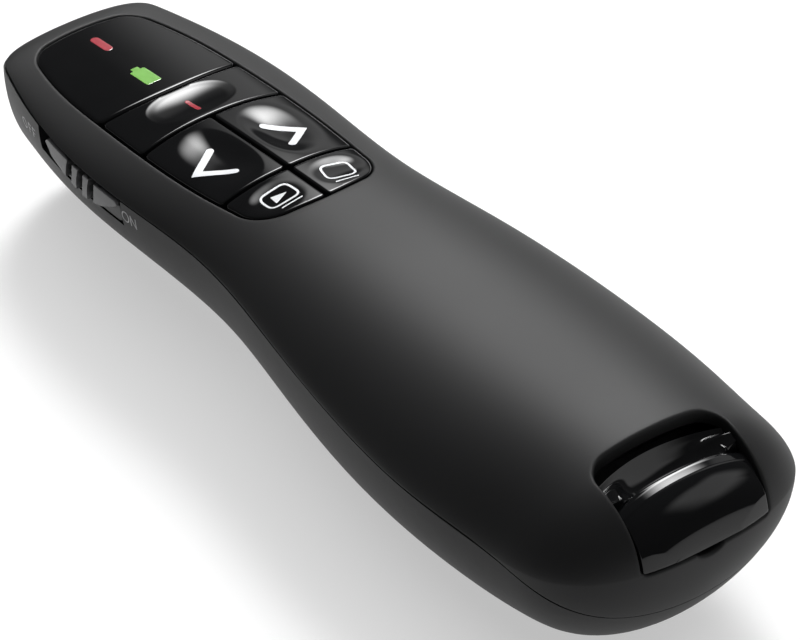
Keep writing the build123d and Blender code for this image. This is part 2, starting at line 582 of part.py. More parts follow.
def chip(name, x, y, width, length, height):
    """A component lying on the board."""
    with BuildPart() as part:
        add(block((x - width / 2, x + width / 2), (y - length / 2, y + length / 2), (BOARD_TOP, BOARD_TOP + height)))
        chamfer(part.faces().sort_by(Axis.Z)[-1].edges(), 0.12)
    part.part.label = name
    return part.part


chips = [
    chip("controller_chip", 0, 27.3, 5.0, 5.0, 1.0),
    chip("radio_chip", 0, 45.6, 4.0, 4.0, 0.8),
    chip("crystal", 4.6, 45.6, 3.2, 1.6, 0.8),
    chip("red_led", GUIDE_RED[0], GUIDE_RED[1], *LED_SIZE),
    chip("green_led", GUIDE_GREEN[0], GUIDE_GREEN[1], *LED_SIZE),
]


def light_guide(name, x, y, width, length):
    """A clear block carrying a diode's light up to the window."""
    with BuildPart() as part:
        add(block((x - width / 2, x + width / 2), (y - length / 2, y + length / 2), (BOARD_TOP + LED_SIZE[2] + 0.2, 25)))
        add(ledge_form_near, mode=Mode.INTERSECT)
    part.part.label = name
    return part.part


ledge_form_near = form(WINDOW_THICK + 0.05)
guides = [light_guide("red_guide", *GUIDE_RED), light_guide("green_guide", *GUIDE_GREEN)]

# ================================================================ power switch
slot_middle = (KNOB_BOTTOM + KNOB_TOP) / 2
with BuildPart() as power_knob:
    add(outer_form)
    add(form(KNOB_DEPTH), mode=Mode.SUBTRACT)
    knob_block = block((-20, -5), (KNOB_REAR, KNOB_NOSE), (KNOB_BOTTOM, KNOB_TOP))
    add(knob_block.fillet(KNOB_ROUND, knob_block.edges().filter_by(Axis.X)), mode=Mode.INTERSECT)
    for y in RIB_SPOTS:
        add(block((-16, -side(y, slot_middle) + RIB_DEPTH), (y - RIB_WIDTH / 2, y + RIB_WIDTH / 2), (KNOB_BOTTOM - 1, KNOB_TOP + 1)), mode=Mode.SUBTRACT)
    with BuildPart() as flange:
        add(form(WALL + KNOB_FLANGE_GAP))
        add(form(WALL + KNOB_FLANGE_GAP + KNOB_FLANGE), mode=Mode.SUBTRACT)
        add(block((-20, -5), (KNOB_REAR - KNOB_FLANGE_REACH, KNOB_NOSE + KNOB_FLANGE_REACH), (KNOB_BOTTOM - KNOB_FLANGE_REACH, KNOB_TOP)), mode=Mode.INTERSECT)
    fit = LEVER / 2 + 0.05
    add(block((SLIDER_X - SLIDER_WIDTH / 2 - LEVER_REACH - 0.05, 0), (LEVER_Y - fit, LEVER_Y + fit), (LEVER_Z - fit, LEVER_Z + fit)), mode=Mode.SUBTRACT)
power_knob.part.label = "power_knob"

with BuildPart() as slide_switch:
    add(block((SLIDER_X - SLIDER_WIDTH / 2, SLIDER_X + SLIDER_WIDTH / 2), (LEVER_Y - SLIDER_LENGTH / 2, LEVER_Y + SLIDER_LENGTH / 2), (BOARD_TOP, BOARD_TOP + SLIDER_HEIGHT)))
    add(block((SLIDER_X - SLIDER_WIDTH, SLIDER_X), (LEVER_Y - LEVER / 2 - 0.3, LEVER_Y + LEVER / 2 + KNOB_TRAVEL + 0.3), (LEVER_Z - LEVER / 2 - 0.1, LEVER_Z + LEVER / 2 + 0.1)), mode=Mode.SUBTRACT)
slide_switch.part.label = "slide_switch"

with BuildPart() as switch_lever:
    add(block((SLIDER_X - SLIDER_WIDTH / 2 - LEVER_REACH, SLIDER_X - 0.2), (LEVER_Y - LEVER / 2, LEVER_Y + LEVER / 2), (LEVER_Z - LEVER / 2, LEVER_Z + LEVER / 2)))
switch_lever.part.label = "switch_lever"

# ================================================================ laser
with BuildPart() as laser_barrel:
    add(barrel(0, LASER_Z, LASER_REAR, LASER_NOSE, LASER_R))
    add(barrel(0, LASER_Z, LASER_REAR - 1, LASER_NOSE + 1, LASER_BORE), mode=Mode.SUBTRACT)
laser_barrel.part.label = "laser_barrel"

with BuildPart() as laser_lens:
    add(barrel(0, LASER_Z, LASER_NOSE - 0.6 - LENS_THICK, LASER_NOSE - 0.6, LASER_BORE - 0.03))
laser_lens.part.label = "laser_lens"

with BuildPart() as laser_diode:
    add(barrel(0, LASER_Z, LASER_REAR, LASER_REAR + 1.2, LASER_BORE - 0.03))
    add(barrel(0, LASER_Z, LASER_REAR, LASER_REAR + 3.6, 1.6))
laser_diode.part.label = "laser_diode"

with BuildPart() as laser_flex:
    add(block((-1.5, 1.5), (LASER_REAR - 0.2, LASER_REAR), (LASER_Z - 1.5, board_bottom)))
    add(block((-1.5, 1.5), (LASER_REAR - 2.2, LASER_REAR), (board_bottom - 0.2, board_bottom)))
laser_flex.part.label = "laser_flex"

with BuildPart() as aperture_ring:
    add(barrel(0, LASER_Z, APERTURE_REAR, APERTURE_NOSE, APERTURE_R))
    add(barrel(0, LASER_Z, APERTURE_REAR - 1, APERTURE_NOSE + 1, APERTURE_HOLE), mode=Mode.SUBTRACT)
aperture_ring.part.label = "aperture_ring"

# ================================================================ cells and contacts
cell_y = BAY_REAR + PLATE + SPRING_LENGTH
cells = []
for name, x, rear, nose_up in (("cell_left", -CELL_X, cell_y, True), ("cell_right", CELL_X, BAY_REAR + PLATE + CELL_NUB, False)):
    with BuildPart() as cell:
        add(barrel(x, CELL_Z, rear, rear + CELL_LENGTH, CELL_R))
        fillet(cell.edges(), 0.5)
        if nose_up:
            add(barrel(x, CELL_Z, rear + CELL_LENGTH - 0.2, rear + CELL_LENGTH + CELL_NUB, CELL_NUB_R))
        else:
            add(barrel(x, CELL_Z, rear - CELL_NUB, rear + 0.2, CELL_NUB_R))
    cell.part.label = name
    cells.append(cell.part)


def leaf(x, plate_y, reach):
    """A bent leaf spring from a plate toward a cell's flat end."""
    y = plate_y + reach
    t = SPRING_SHEET if reach > 0 else -SPRING_SHEET
    with BuildPart() as spring:
        with BuildSketch(Plane.YZ.offset(x - 2.0)):
            with BuildLine():
                Polyline((plate_y, CELL_Z - 2.7), (y, CELL_Z - 0.6), (y, CELL_Z + 0.6), (plate_y + t, CELL_Z + 3.4), (plate_y + t, CELL_Z + 2.6), (y - t, CELL_Z + 0.3), (y - t, CELL_Z - 0.3), (plate_y, CELL_Z - 1.9), close=True)
            make_face()
        extrude(amount=4.0)
    return spring.part


with BuildPart() as contact_bridge:
    add(block((-8.6, 8.6), (BAY_REAR, BAY_REAR + PLATE), (PLATE_LOW, PLATE_HIGH)))
    add(leaf(-CELL_X, BAY_REAR + PLATE, SPRING_LENGTH))
contact_bridge.part.label = "contact_bridge"

with BuildPart() as contact_plus:
    add(block((-8.6, -1.2), (BAY_NOSE - PLATE, BAY_NOSE), (PLATE_LOW, PLATE_HIGH)))
contact_plus.part.label = "contact_plus"

with BuildPart() as contact_minus:
    add(block((1.2, 8.6), (BAY_NOSE - PLATE, BAY_NOSE), (PLATE_LOW, PLATE_HIGH)))
    add(leaf(CELL_X, BAY_NOSE - PLATE, -SPRING_LENGTH))
contact_minus.part.label = "contact_minus"

leads = []
for name, s in (("lead_plus", -1), ("lead_minus", 1)):
    with BuildPart() as lead:
        add(barrel(s * LEAD_X, LEAD_Z, BAY_NOSE, BOARD_REAR + 1.4, LEAD_R))
        add(Pos(s * LEAD_X, BOARD_REAR + 1.4, LEAD_Z) * Sphere(LEAD_R, mode=Mode.PRIVATE))
        add(rod(s * LEAD_X, BOARD_REAR + 1.4, LEAD_Z, board_bottom, LEAD_R))
    lead.part.label = name
    leads.append(lead.part)

# ================================================================ receiver and its dock
rx_middle = (RX_BOTTOM + RX_TOP) / 2


def stick_half(bottom, top):
    """The lower or upper half of the receiver's case."""
    with BuildPart() as half:
        shape = block((-RX_HALF, RX_HALF), (RX_CAP_FRONT, RX_CASE_FRONT), (RX_BOTTOM, RX_TOP))
        add(shape.fillet(RX_ROUND, shape.edges().filter_by(Axis.Y)))
        add(block((-RX_HALF + RX_WALL, RX_HALF - RX_WALL), (RX_CAP_FRONT + RX_WALL, RX_CASE_FRONT - RX_WALL), (RX_BOTTOM + RX_WALL, RX_TOP - RX_WALL)), mode=Mode.SUBTRACT)
        tongue_top = rx_middle + 0.05 + USB_TONGUE
        add(block((-USB_TONGUE_HALF - 0.1, USB_TONGUE_HALF + 0.1), (RX_CASE_FRONT - RX_WALL - 1, RX_CASE_FRONT + 1), (rx_middle - 0.25, tongue_top)), mode=Mode.SUBTRACT)
        add(block((-20, 20), (-60, 0), (bottom, top)), mode=Mode.INTERSECT)
    return half.part


receiver_lower = stick_half(0, rx_middle)
receiver_lower.label = "receiver_lower"
receiver_upper = stick_half(rx_middle, 30)
receiver_upper.label = "receiver_upper"

with BuildPart() as receiver_cap:
    with BuildSketch(Plane.YZ.offset(-SLOT_HALF + RX_GAP)):
        with BuildLine():
            Polyline(*CAP_EARS, (-45.6, 18.6), close=True)
        make_face()
    extrude(amount=2 * (SLOT_HALF - RX_GAP))
    with BuildSketch(Plane.YZ.offset(-NOTCH_HALF)):
        with BuildLine():
            Polyline(*CAP_NOTCH, (-52.6, 26), (-47.5, 26), close=True)
        make_face()
    extrude(amount=2 * NOTCH_HALF, mode=Mode.SUBTRACT)
    for s in both_sides:
        a, b, c = [Vector(s * x, y, z) for x, y, z in SHOULDER]
        out = (b - a).cross(c - a) * s
        with Locations(Plane(origin=b, z_dir=out)):
            Box(40, 40, 8, align=(Align.CENTER, Align.CENTER, Align.MIN), mode=Mode.SUBTRACT)
    add(outer_form, mode=Mode.INTERSECT)
receiver_cap.part.label = "receiver_cap"

with BuildPart() as usb_shell:
    shape = block((-USB_HALF, USB_HALF), (RX_CASE_FRONT, RX_CASE_FRONT + USB_LENGTH), (rx_middle - USB_THICK / 2, rx_middle + USB_THICK / 2))
    add(shape.fillet(0.6, shape.edges().filter_by(Axis.Y)))
    add(block((-USB_HALF + USB_SHEET, USB_HALF - USB_SHEET), (RX_CASE_FRONT - 1, RX_CASE_FRONT + USB_LENGTH + 1), (rx_middle - USB_THICK / 2 + USB_SHEET, rx_middle + USB_THICK / 2 - USB_SHEET)), mode=Mode.SUBTRACT)
    for s in both_sides:
        add(block((s * 2.6 - 1.0, s * 2.6 + 1.0), (RX_CASE_FRONT + 5.2, RX_CASE_FRONT + 7.6), (15, 30)), mode=Mode.SUBTRACT)
usb_shell.part.label = "usb_shell"

tongue_bottom = rx_middle + 0.05 - 0.1
with BuildPart() as usb_tongue:
    add(block((-USB_TONGUE_HALF, USB_TONGUE_HALF), (RX_CASE_FRONT - RX_WALL + 0.05, RX_CASE_FRONT + USB_LENGTH - 0.8), (tongue_bottom, tongue_bottom + USB_TONGUE - 0.1)))
usb_tongue.part.label = "usb_tongue"

with BuildPart() as usb_pins:
    for x in USB_PIN_SPOTS:
        add(block((x - USB_PIN / 2, x + USB_PIN / 2), (RX_CASE_FRONT - RX_WALL - 2.4, RX_CASE_FRONT + USB_LENGTH - 1.6), (tongue_bottom - USB_PIN_SHEET, tongue_bottom)))
usb_pins.part.label = "usb_pins"

board_top = tongue_bottom - USB_PIN_SHEET
with BuildPart() as receiver_board:
    add(block((-6.4, 6.4), (RX_CAP_FRONT + RX_WALL + 0.3, RX_CASE_FRONT - RX_WALL - 0.1), (board_top - RX_BOARD, board_top)))
receiver_board.part.label = "receiver_board"

with BuildPart() as receiver_chip:
    add(block((-2.5, 2.5), (-26, -21), (board_top, board_top + 0.9)))
receiver_chip.part.label = "receiver_chip"

with BuildPart() as receiver_dock:
    bottom = DOCK_FLOOR - DOCK_THICK
    add(block((-DOCK_HALF, DOCK_HALF), (BAY_REAR - BAY_WALL, DOCK_STEP), (bottom, DOCK_FLOOR)))
    add(block((-DOCK_NARROW, DOCK_NARROW), (DOCK_STEP, DOCK_NOSE), (bottom, DOCK_FLOOR)))
    add(block((-DOCK_NARROW, DOCK_NARROW), (USB_LENGTH + RX_CASE_FRONT + RX_GAP, DOCK_NOSE), (DOCK_FLOOR, DOCK_RAIL_TOP)))
    for s in both_sides:
        for inner, rear, nose in ((DOCK_HALF - DOCK_RAIL, -45.0, DOCK_STEP), (DOCK_NARROW - DOCK_RAIL, DOCK_STEP + 1.0, DOCK_NOSE)):
            edges = sorted((s * inner, s * (inner + DOCK_RAIL)))
            add(block(edges, (rear, nose), (DOCK_FLOOR, DOCK_RAIL_TOP)))
receiver_dock.part.label = "receiver_dock"

# ================================================================ files
pieces = [top_case, bottom_shell.part, battery_door.part, window.part, *buttons, key_frame.part]
pieces += [circuit_board.part, *switches, *board_screws, *case_screws, *chips, *guides]
pieces += [power_knob.part, slide_switch.part, switch_lever.part]
pieces += [laser_barrel.part, laser_lens.part, laser_diode.part, laser_flex.part, aperture_ring.part]
pieces += [*cells, contact_bridge.part, contact_plus.part, contact_minus.part, *leads]
pieces += [receiver_lower, receiver_upper, receiver_cap.part, usb_shell.part, usb_tongue.part, usb_pins.part]
pieces += [receiver_board.part, receiver_chip.part, receiver_dock.part]

os.makedirs("parts", exist_ok=True)
for piece in pieces:
    print(piece.label, round(piece.volume, 2), len(piece.solids()))
    export_step(piece, "parts/" + piece.label + ".step")
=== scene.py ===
"""Wireless presentation clicker: shells, keys, sliding switch, receiver cap and their finishes."""

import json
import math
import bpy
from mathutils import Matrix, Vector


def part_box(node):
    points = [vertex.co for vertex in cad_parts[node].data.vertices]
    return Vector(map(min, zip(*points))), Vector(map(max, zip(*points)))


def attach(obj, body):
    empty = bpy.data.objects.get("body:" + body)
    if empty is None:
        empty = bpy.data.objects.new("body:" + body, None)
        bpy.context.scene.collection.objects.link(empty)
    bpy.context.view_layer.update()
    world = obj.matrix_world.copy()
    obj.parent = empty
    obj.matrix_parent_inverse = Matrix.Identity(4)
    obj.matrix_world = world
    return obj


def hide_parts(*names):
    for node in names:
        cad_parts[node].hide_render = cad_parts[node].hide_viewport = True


bl_info = {
    "name": "Presentation clicker",
    "version": (1, 0, 0),
    "blender": (4, 5, 0),
    "location": "3D View > Sidebar > Clicker",
    "description": "Builds the shells, keys, prints and finishes of a hand-held presentation clicker",
    "category": "Object",
}

from functools import partial

import bmesh
import bpy
import numpy as np
from bpy.props import FloatProperty, FloatVectorProperty, PointerProperty
from mathutils import Matrix, Vector

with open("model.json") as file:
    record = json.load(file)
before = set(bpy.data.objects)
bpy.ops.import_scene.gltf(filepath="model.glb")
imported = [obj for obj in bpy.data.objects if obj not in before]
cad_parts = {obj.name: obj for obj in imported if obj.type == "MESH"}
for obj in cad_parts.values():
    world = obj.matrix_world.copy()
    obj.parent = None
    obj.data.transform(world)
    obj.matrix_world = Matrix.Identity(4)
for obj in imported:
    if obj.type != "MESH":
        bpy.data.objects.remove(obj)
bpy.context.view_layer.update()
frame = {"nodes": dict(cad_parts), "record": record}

MM = 0.001

# ---- body form, millimetres
LENGTH = 115.5
END = 57.729
WALL = 1.6
HALF_WIDTHS = (
    (-57.75, 17.6), (-48, 17.8), (-36, 18.9), (-20, 18.6), (-4, 16.6),
    (12, 14.35), (28, 14.65), (43, 13.6), (57.75, 9.7),
)
TOP_LINE = ((-57.75, 27.25), (-50, 27.25), (-42, 27.3), (-30, 26.8), (-5, 25.7), (25, 23.6), (50, 21.0))
WAIST_LINE = ((-57.75, 18.5), (-48, 17.8), (-30, 18.0), (0, 19.7), (30, 19.4), (57, 19.6))
BELLY_LINE = ((-57.75, 6.8), (-48, 2.4), (-34, 0.5), (-15, -0.4), (10, 3.65), (35, 4.6), (57.75, 2.4))
SPLIT_LINE = (
    (-60, 6.0), (-57.5, 9.0), (-54, 13.2), (-49, 16.4), (-42, 17.7),
    (-30, 18.0), (0, 19.7), (30, 19.4), (60, 19.6),
)
# length and power of the rounding at the nose and at the tail
PLAN_ENDS = ((3.6, 3.0), (12.5, 2.6))
TOP_ENDS = ((2.9, 3.0), (9.4, 1.95))
BELLY_ENDS = ((2.9, 2.5), (12.3, 2.5))
CROWN_OUT, CROWN_IN, BELLY_CURVE = 2.35, 1.32, 1.93

# ---- key cluster
# middle, bow and half width of the arcs that end the cluster
FAR_ARC = (55.2, 0.85, 6.95)
NEAR_ARC = (7.6, 1.4, 8.7)
CLUSTER_SIDE = (
    (6.0, 8.2), (9.0, 8.7), (12.0, 8.8), (15.0, 9.1), (29.0, 9.8),
    (37.5, 9.6), (45.6, 9.0), (54.35, 6.95), (56.5, 6.2),
)
FAR_CORNER, NEAR_CORNER, BOW_HALF = 2.0, 3.4, 9.7
WINDOW_EDGE, WINDOW_BOW = 37.4, -0.6
LASER_EDGE, LASER_BOW = 29.0, 0.4
ARROW_EDGE = 15.0
HALF_GAP = 0.225
WINDOW_CLEAR, WINDOW_LAP, CLUSTER_CLEAR = 0.06, 0.1, 0.25
KEY_CORNER, INNER_CORNER, FINE_CORNER = 0.5, 0.3, 0.01
PILL_X, PILL_Y, PILL_HALF, PILL_WIDTH, PILL_POWER = 0.2, 33.45, 5.7, 6.1, 2.4
PILL_RISE, PILL_DEPTH, PILL_BRIM, PILL_EASE = 0.05, 0.42, 1.04, 0.3
# depth and power of each key's bowl, and how much deeper it is towards the middle line
BOWLS = {
    "back": (0.5, 2.6, 0.85), "next": (0.55, 2.3, 0.85),
    "slideshow": (0.26, 2.2, -0.7), "blank": (0.3, 2.2, -0.4),
}
BOWL_RIM = 0.45

# ---- power switch
# the knob's rectangle in y and z, the boat-shaped grip on it, its three grooves, and the flange behind
KNOB = (26.7, 42.0, 16.1, 19.0)
GRIP_LOW = (
    (26.7, 18.75), (27.4, 18.1), (29.7, 16.9), (31.6, 16.35), (33.4, 16.15),
    (35.4, 16.45), (37.3, 16.75), (39.7, 17.3), (42.0, 18.4),
)
GRIP_BASE, GRIP_PROUD, GRIP_LEAN, GRIP_EASE = -0.14, 0.08, 0.2, 0.16
GRIP_OVER, GRIP_FADE = 0.1, 0.1
GROOVES, GROOVE_HALF, GROOVE_DEPTH, GROOVE_EASE = (36.35, 34.1, 31.9), 0.46, 1.1, 0.14
# how much wider a groove is at its middle height, that height, and how far above it the swell ends
GROOVE_SWELL, GROOVE_MIDDLE, GROOVE_TALL = 0.1, 17.5, 1.4
KNOB_CORNER, KNOB_LIP = 0.9, 0.1
KNOB_FLANGE, FLANGE_SUNK = (25.6, 43.1, 15.2, 19.0), -2.1

# ---- tail slot and receiver cap
SLOT_HALF, SLOT_FRONT, SLOT_BOTTOM, SLOT_CORNER, SLOT_FILLET = 8.5, -47.1, 18.3, 2.6, 0.8
# the cap's side profile: slope and floor of the finger pocket, its wall and crest, with their roundings; then
# the back's superellipse by centre, half axes and power, and the part of it that is used
CAP_FRONT = ((-46.9, 25.1), (-49.3, 22.98), (-51.3, 22.75), (-51.95, 24.9), (-53.3, 24.72))
CAP_ROUNDS = (0.8, 0.4, 1.3)
CAP_BACK = (-52.6, 18.3, 5.1, 6.45, 1.8)
BACK_START, BACK_STOP = 0.14, 0.999
CAP_HALF, CAP_EDGE, CAP_LOW, CAP_SINK = 8.35, -47.35, 18.55, 0.06
CAP_LIP, CAP_WALL, CAP_FOOT, CAP_SIDE = 0.07, 0.6, 0.1, 0.15
# where the mesh lines across the cap change their spacing, and how many lines each stretch has
CAP_PLACES = (-CAP_HALF - 0.3, -7.2, -6.4, 6.4, 7.2, CAP_HALF + 0.3)
CAP_COUNTS = (12, 16, 90, 16, 12)
# across the cap: the slope bows towards the nose and the crest towards the tail
NOTCH_HALF, CREST = 6.85, -52.3
ARCH, ARCH_EASE = 1.15, 3.0
CREST_BOW, BOW_START, BOW_EASE = 0.35, -54.5, 2.0
# the pocket is a spoon whose sides rise more steeply beyond `edge` of its half width, below `top`
SPOON, SPOON_SIDE, SPOON_EDGE, SPOON_EASE, SPOON_TOP = 0.45, 0.9, 0.62, 0.5, 24.3
EAR_TOP, EAR_FALL, EAR_START, EAR_EASE = 24.2, 0.25, -0.25, 0.3
# behind this far ahead of the crest, the cap bends across as the shell's crown does
BEND_AHEAD, BEND_EASE = 0.9, 0.7
CROWN_END, BEND_END = -57.6, -55

# ---- meshes
# the skin's reckoned length round the body, the seam's gap, and from where an edge counts as the seam's, the
# keys' or the slot's
AROUND, SEAM_GAP, SEAM_NEAR, KEYS_NEAR, SLOT_NEAR = 96, 0.05, 1.2, 1.0, -42
WINDOW_AREA, WINDOW_STEP, WINDOW_DEEP = (-10.2, 10.2, 36.0, 56.0), 0.2, 1.45
# the area that each key is cut from, and the middle of its stem
KEYS = {
    "laser": ((-10.2, 10.2, 28.6, 38.0), (0, 33.2)),
    "back": ((-10.2, 0.2, 14.6, 30.0), (-4.9, 21.6)),
    "next": ((-0.2, 10.2, 14.6, 30.0), (4.9, 21.6)),
    "slideshow": ((-9.6, 0.2, 7.0, 15.4), (-4.1, 11.4)),
    "blank": ((-0.2, 9.6, 7.0, 15.4), (4.1, 11.4)),
}
KEY_DEEP = 1.9
# the stem's radii, with heights above its foot and from the key's face
STEM_FOOT = ((0.0, 0.0), (1.8, 0.0), (1.9, 0.1), (1.9, 0.4), (1.4, 0.5))
STEM_TOP = ((1.4, -1.7), (0.0, -1.6))
# the sharpest fold that is shaded smooth in degrees, and the distance at which corners join, in metres for an
# object and in millimetres for a skin; how often an edge's place is halved, and the step of its slope
SHARP, MERGE, WELD, HALVINGS, NUDGE = 35.0, 2e-6, 2e-4, 16, 0.01
PRINT_LIP, PRINT_DEEP, PRINT_RISE, LIT_RISE, ARROW_REACH = 0.012, 0.03, 0.015, 0.01, 2.2
TURNED_POINTS, ROUND_POINTS, OUTLINE_POINTS, OUTLINE_CORNER = 48, 12, 7, 0.9
DOWN, ABOVE, BESIDE = (0.0, 0.0, -1.0), (0, 1), (1, 2)


def through(stations, at):
    """Natural cubic through (place, value) stations: its bends solve the three-term system."""
    xs = np.array([s[0] for s in stations], float)
    vs = np.array([s[1] for s in stations], float)
    h = np.diff(xs)
    n = len(xs)
    system = np.eye(n)
    load = np.zeros(n)
    inner = np.arange(1, n - 1)
    system[inner, inner - 1], system[inner, inner + 1] = h[:-1], h[1:]
    system[inner, inner] = 2 * (h[:-1] + h[1:])
    load[1:-1] = 6 * (np.diff(vs)[1:] / h[1:] - np.diff(vs)[:-1] / h[:-1])
    bend = np.linalg.solve(system, load)
    at = np.asarray(at, float)
    i = np.clip(np.searchsorted(xs, at) - 1, 0, n - 2)
    a, b = (xs[i + 1] - at) / h[i], (at - xs[i]) / h[i]
    return a * vs[i] + b * vs[i + 1] + ((a**3 - a) * bend[i] + (b**3 - b) * bend[i + 1]) * h[i] ** 2 / 6


def closing(y, ends):
    """1 along the body, falling to 0 at its ends as (1 - t^p)^(1/p), t running through the rounding."""
    length = np.where(y > 0, ends[0][0], ends[1][0])
    power = np.where(y > 0, ends[0][1], ends[1][1])
    into = np.clip((np.abs(y) - (LENGTH / 2 - length)) / length, 0, 1)
    return (1 - into**power) ** (1 / power)


def girth(y):
    """Half width, waist height, top and bottom of the body's section at y."""
    half = through(HALF_WIDTHS, y) * closing(y, PLAN_ENDS)
    waist = through(WAIST_LINE, y)
    top = waist + (through(TOP_LINE, y) - waist) * closing(y, TOP_ENDS)
    bottom = waist - (waist - through(BELLY_LINE, y)) * closing(y, BELLY_ENDS)
    return half, waist, top, bottom


def crown(x, y):
    """Height of the upper surface over (x, y): waist + rise (1 - u^out)^(1/in), u being |x| / half width."""
    half, waist, top, _ = girth(y)
    u = np.clip(np.abs(x) / np.maximum(half, 1e-6), 0, 1)
    return waist + (top - waist) * (1 - u**CROWN_OUT) ** (1 / CROWN_IN)


def flank(y, z):
    """Half width at height z below the waist, the belly's superellipse solved for x."""
    half, waist, _, bottom = girth(y)
    down = np.clip((waist - z) / (waist - bottom), 0, 1)
    return half * (1 - down**BELLY_CURVE) ** (1 / BELLY_CURVE)


def stretch():
    """Places along the body against the arc length of its plan outline, from tail to nose."""
    turn = np.linspace(0, math.pi / 2, 600)
    tail = -LENGTH / 2 + PLAN_ENDS[1][0] * (1 - np.sin(turn) ** (2 / PLAN_ENDS[1][1]))
    nose = LENGTH / 2 - PLAN_ENDS[0][0] * (1 - np.sin(turn) ** (2 / PLAN_ENDS[0][1]))
    y = np.concatenate([tail[::-1], np.linspace(tail[0], nose[0], 900)[1:-1], nose])
    arc = np.concatenate([[0], np.cumsum(np.hypot(np.diff(y), np.diff(girth(y)[0])))])
    return y, arc


ALONG_Y, ALONG_ARC = stretch()


def body(turn, arc):
    """The whole skin: turn goes round the section from the crown's middle (0) over the waist (a quarter
    turn) to the belly (half a turn), arc along the body. Across = half width * sin^(2/out), up = rise *
    cos^(2/in), so points gather at the waist."""
    y = np.clip(np.interp(arc, ALONG_ARC, ALONG_Y), -END, END)
    half, waist, top, bottom = girth(y)
    s, c = np.abs(np.sin(turn)), np.abs(np.cos(turn))
    above = np.cos(turn) >= 0
    across = np.where(above, s ** (2 / CROWN_OUT), s ** (2 / BELLY_CURVE))
    high, low = waist + (top - waist) * c ** (2 / CROWN_IN), waist - (waist - bottom) * c ** (2 / BELLY_CURVE)
    z = np.where(above, high, low)
    return np.stack([np.sign(np.sin(turn)) * half * across, y, np.maximum(z, 0.0)], -1)


# ---- fields
# each is positive inside, and about the distance to the edge
def meet(a, b, r):
    """Where both fields hold, the corner rounded by r: max(r, min(a, b)) less the hypotenuse of what each
    lacks."""
    return np.maximum(r, np.minimum(a, b)) - np.hypot(np.maximum(r - a, 0), np.maximum(r - b, 0))


def bow(x, edge, rise):
    """A gently bowed edge across the body: the parabola edge + rise (1 - (x / half)^2)."""
    return edge + rise * (1 - (x / BOW_HALF) ** 2)


def cluster(x, y):
    """The key cluster's opening in plan, between its two side curves and its far and near arcs."""
    side = np.interp(y, *CLUSTER_TABLE) - np.abs(x)
    far = FAR_ARC[0] - FAR_ARC[1] * (x / FAR_ARC[2]) ** 2 - y
    near = y - NEAR_ARC[0] - NEAR_ARC[1] * (x / NEAR_ARC[2]) ** 2
    return meet(meet(side, far, FAR_CORNER), near, NEAR_CORNER)


cluster_y = np.linspace(6.0, 56.5, 800)
CLUSTER_TABLE = (cluster_y, through(CLUSTER_SIDE, cluster_y))


def slot(p):
    """The tail's slot: between its side walls and its front wall in plan, above its floor."""
    plan = meet(SLOT_HALF - np.abs(p[..., 0]), SLOT_FRONT - p[..., 1], SLOT_CORNER)
    return meet(plan, p[..., 2] - SLOT_BOTTOM, SLOT_FILLET)


def box_field(u, v, bounds, r):
    """A rectangle in two coordinates with rounded corners."""
    u0, u1, v0, v1 = bounds
    return meet(meet(u - u0, u1 - u, FINE_CORNER), meet(v - v0, v1 - v, FINE_CORNER), r)


def window_field(p):
    """The window's outline in plan: the cluster's far part, beyond the laser key."""
    x, y = p[..., 0], p[..., 1]
    edge = bow(x, WINDOW_EDGE + HALF_GAP - WINDOW_LAP, WINDOW_BOW)
    return meet(cluster(x, y) - WINDOW_CLEAR, y - edge, INNER_CORNER)


def key_field(name, x, y):
    """A key's outline in plan: the cluster's edge and the gaps to its neighbours."""
    field = cluster(x, y) - CLUSTER_CLEAR
    if name == "laser":
        near = y - bow(x, LASER_EDGE + HALF_GAP, LASER_BOW)
        far = bow(x, WINDOW_EDGE - HALF_GAP, WINDOW_BOW) - y
        return meet(meet(field, near, KEY_CORNER), far, KEY_CORNER)
    inner = (x if name in ("next", "blank") else -x) - HALF_GAP
    if name in ("back", "next"):
        near, far = y - ARROW_EDGE - HALF_GAP, bow(x, LASER_EDGE - HALF_GAP, LASER_BOW) - y
        field = meet(meet(field, near, INNER_CORNER), far, KEY_CORNER)
    else:
        field = meet(field, ARROW_EDGE - HALF_GAP - y, INNER_CORNER)
    return meet(field, inner, INNER_CORNER)


def smooth(t):
    """0 to 1 along 3t^2 - 2t^3."""
    t = np.clip(t, 0, 1)
    return t * t * (3 - 2 * t)


def bowl(across, along, power):
    """0 to 1 into a bowl: (1 - |u|^p - |v|^p)^2, u and v running from -1 to 1 between its rims. A high power
    p makes a flat floor with steep sides, a low one a round dish."""
    return np.maximum(1 - np.abs(across) ** power - np.abs(along) ** power, 0) ** 2


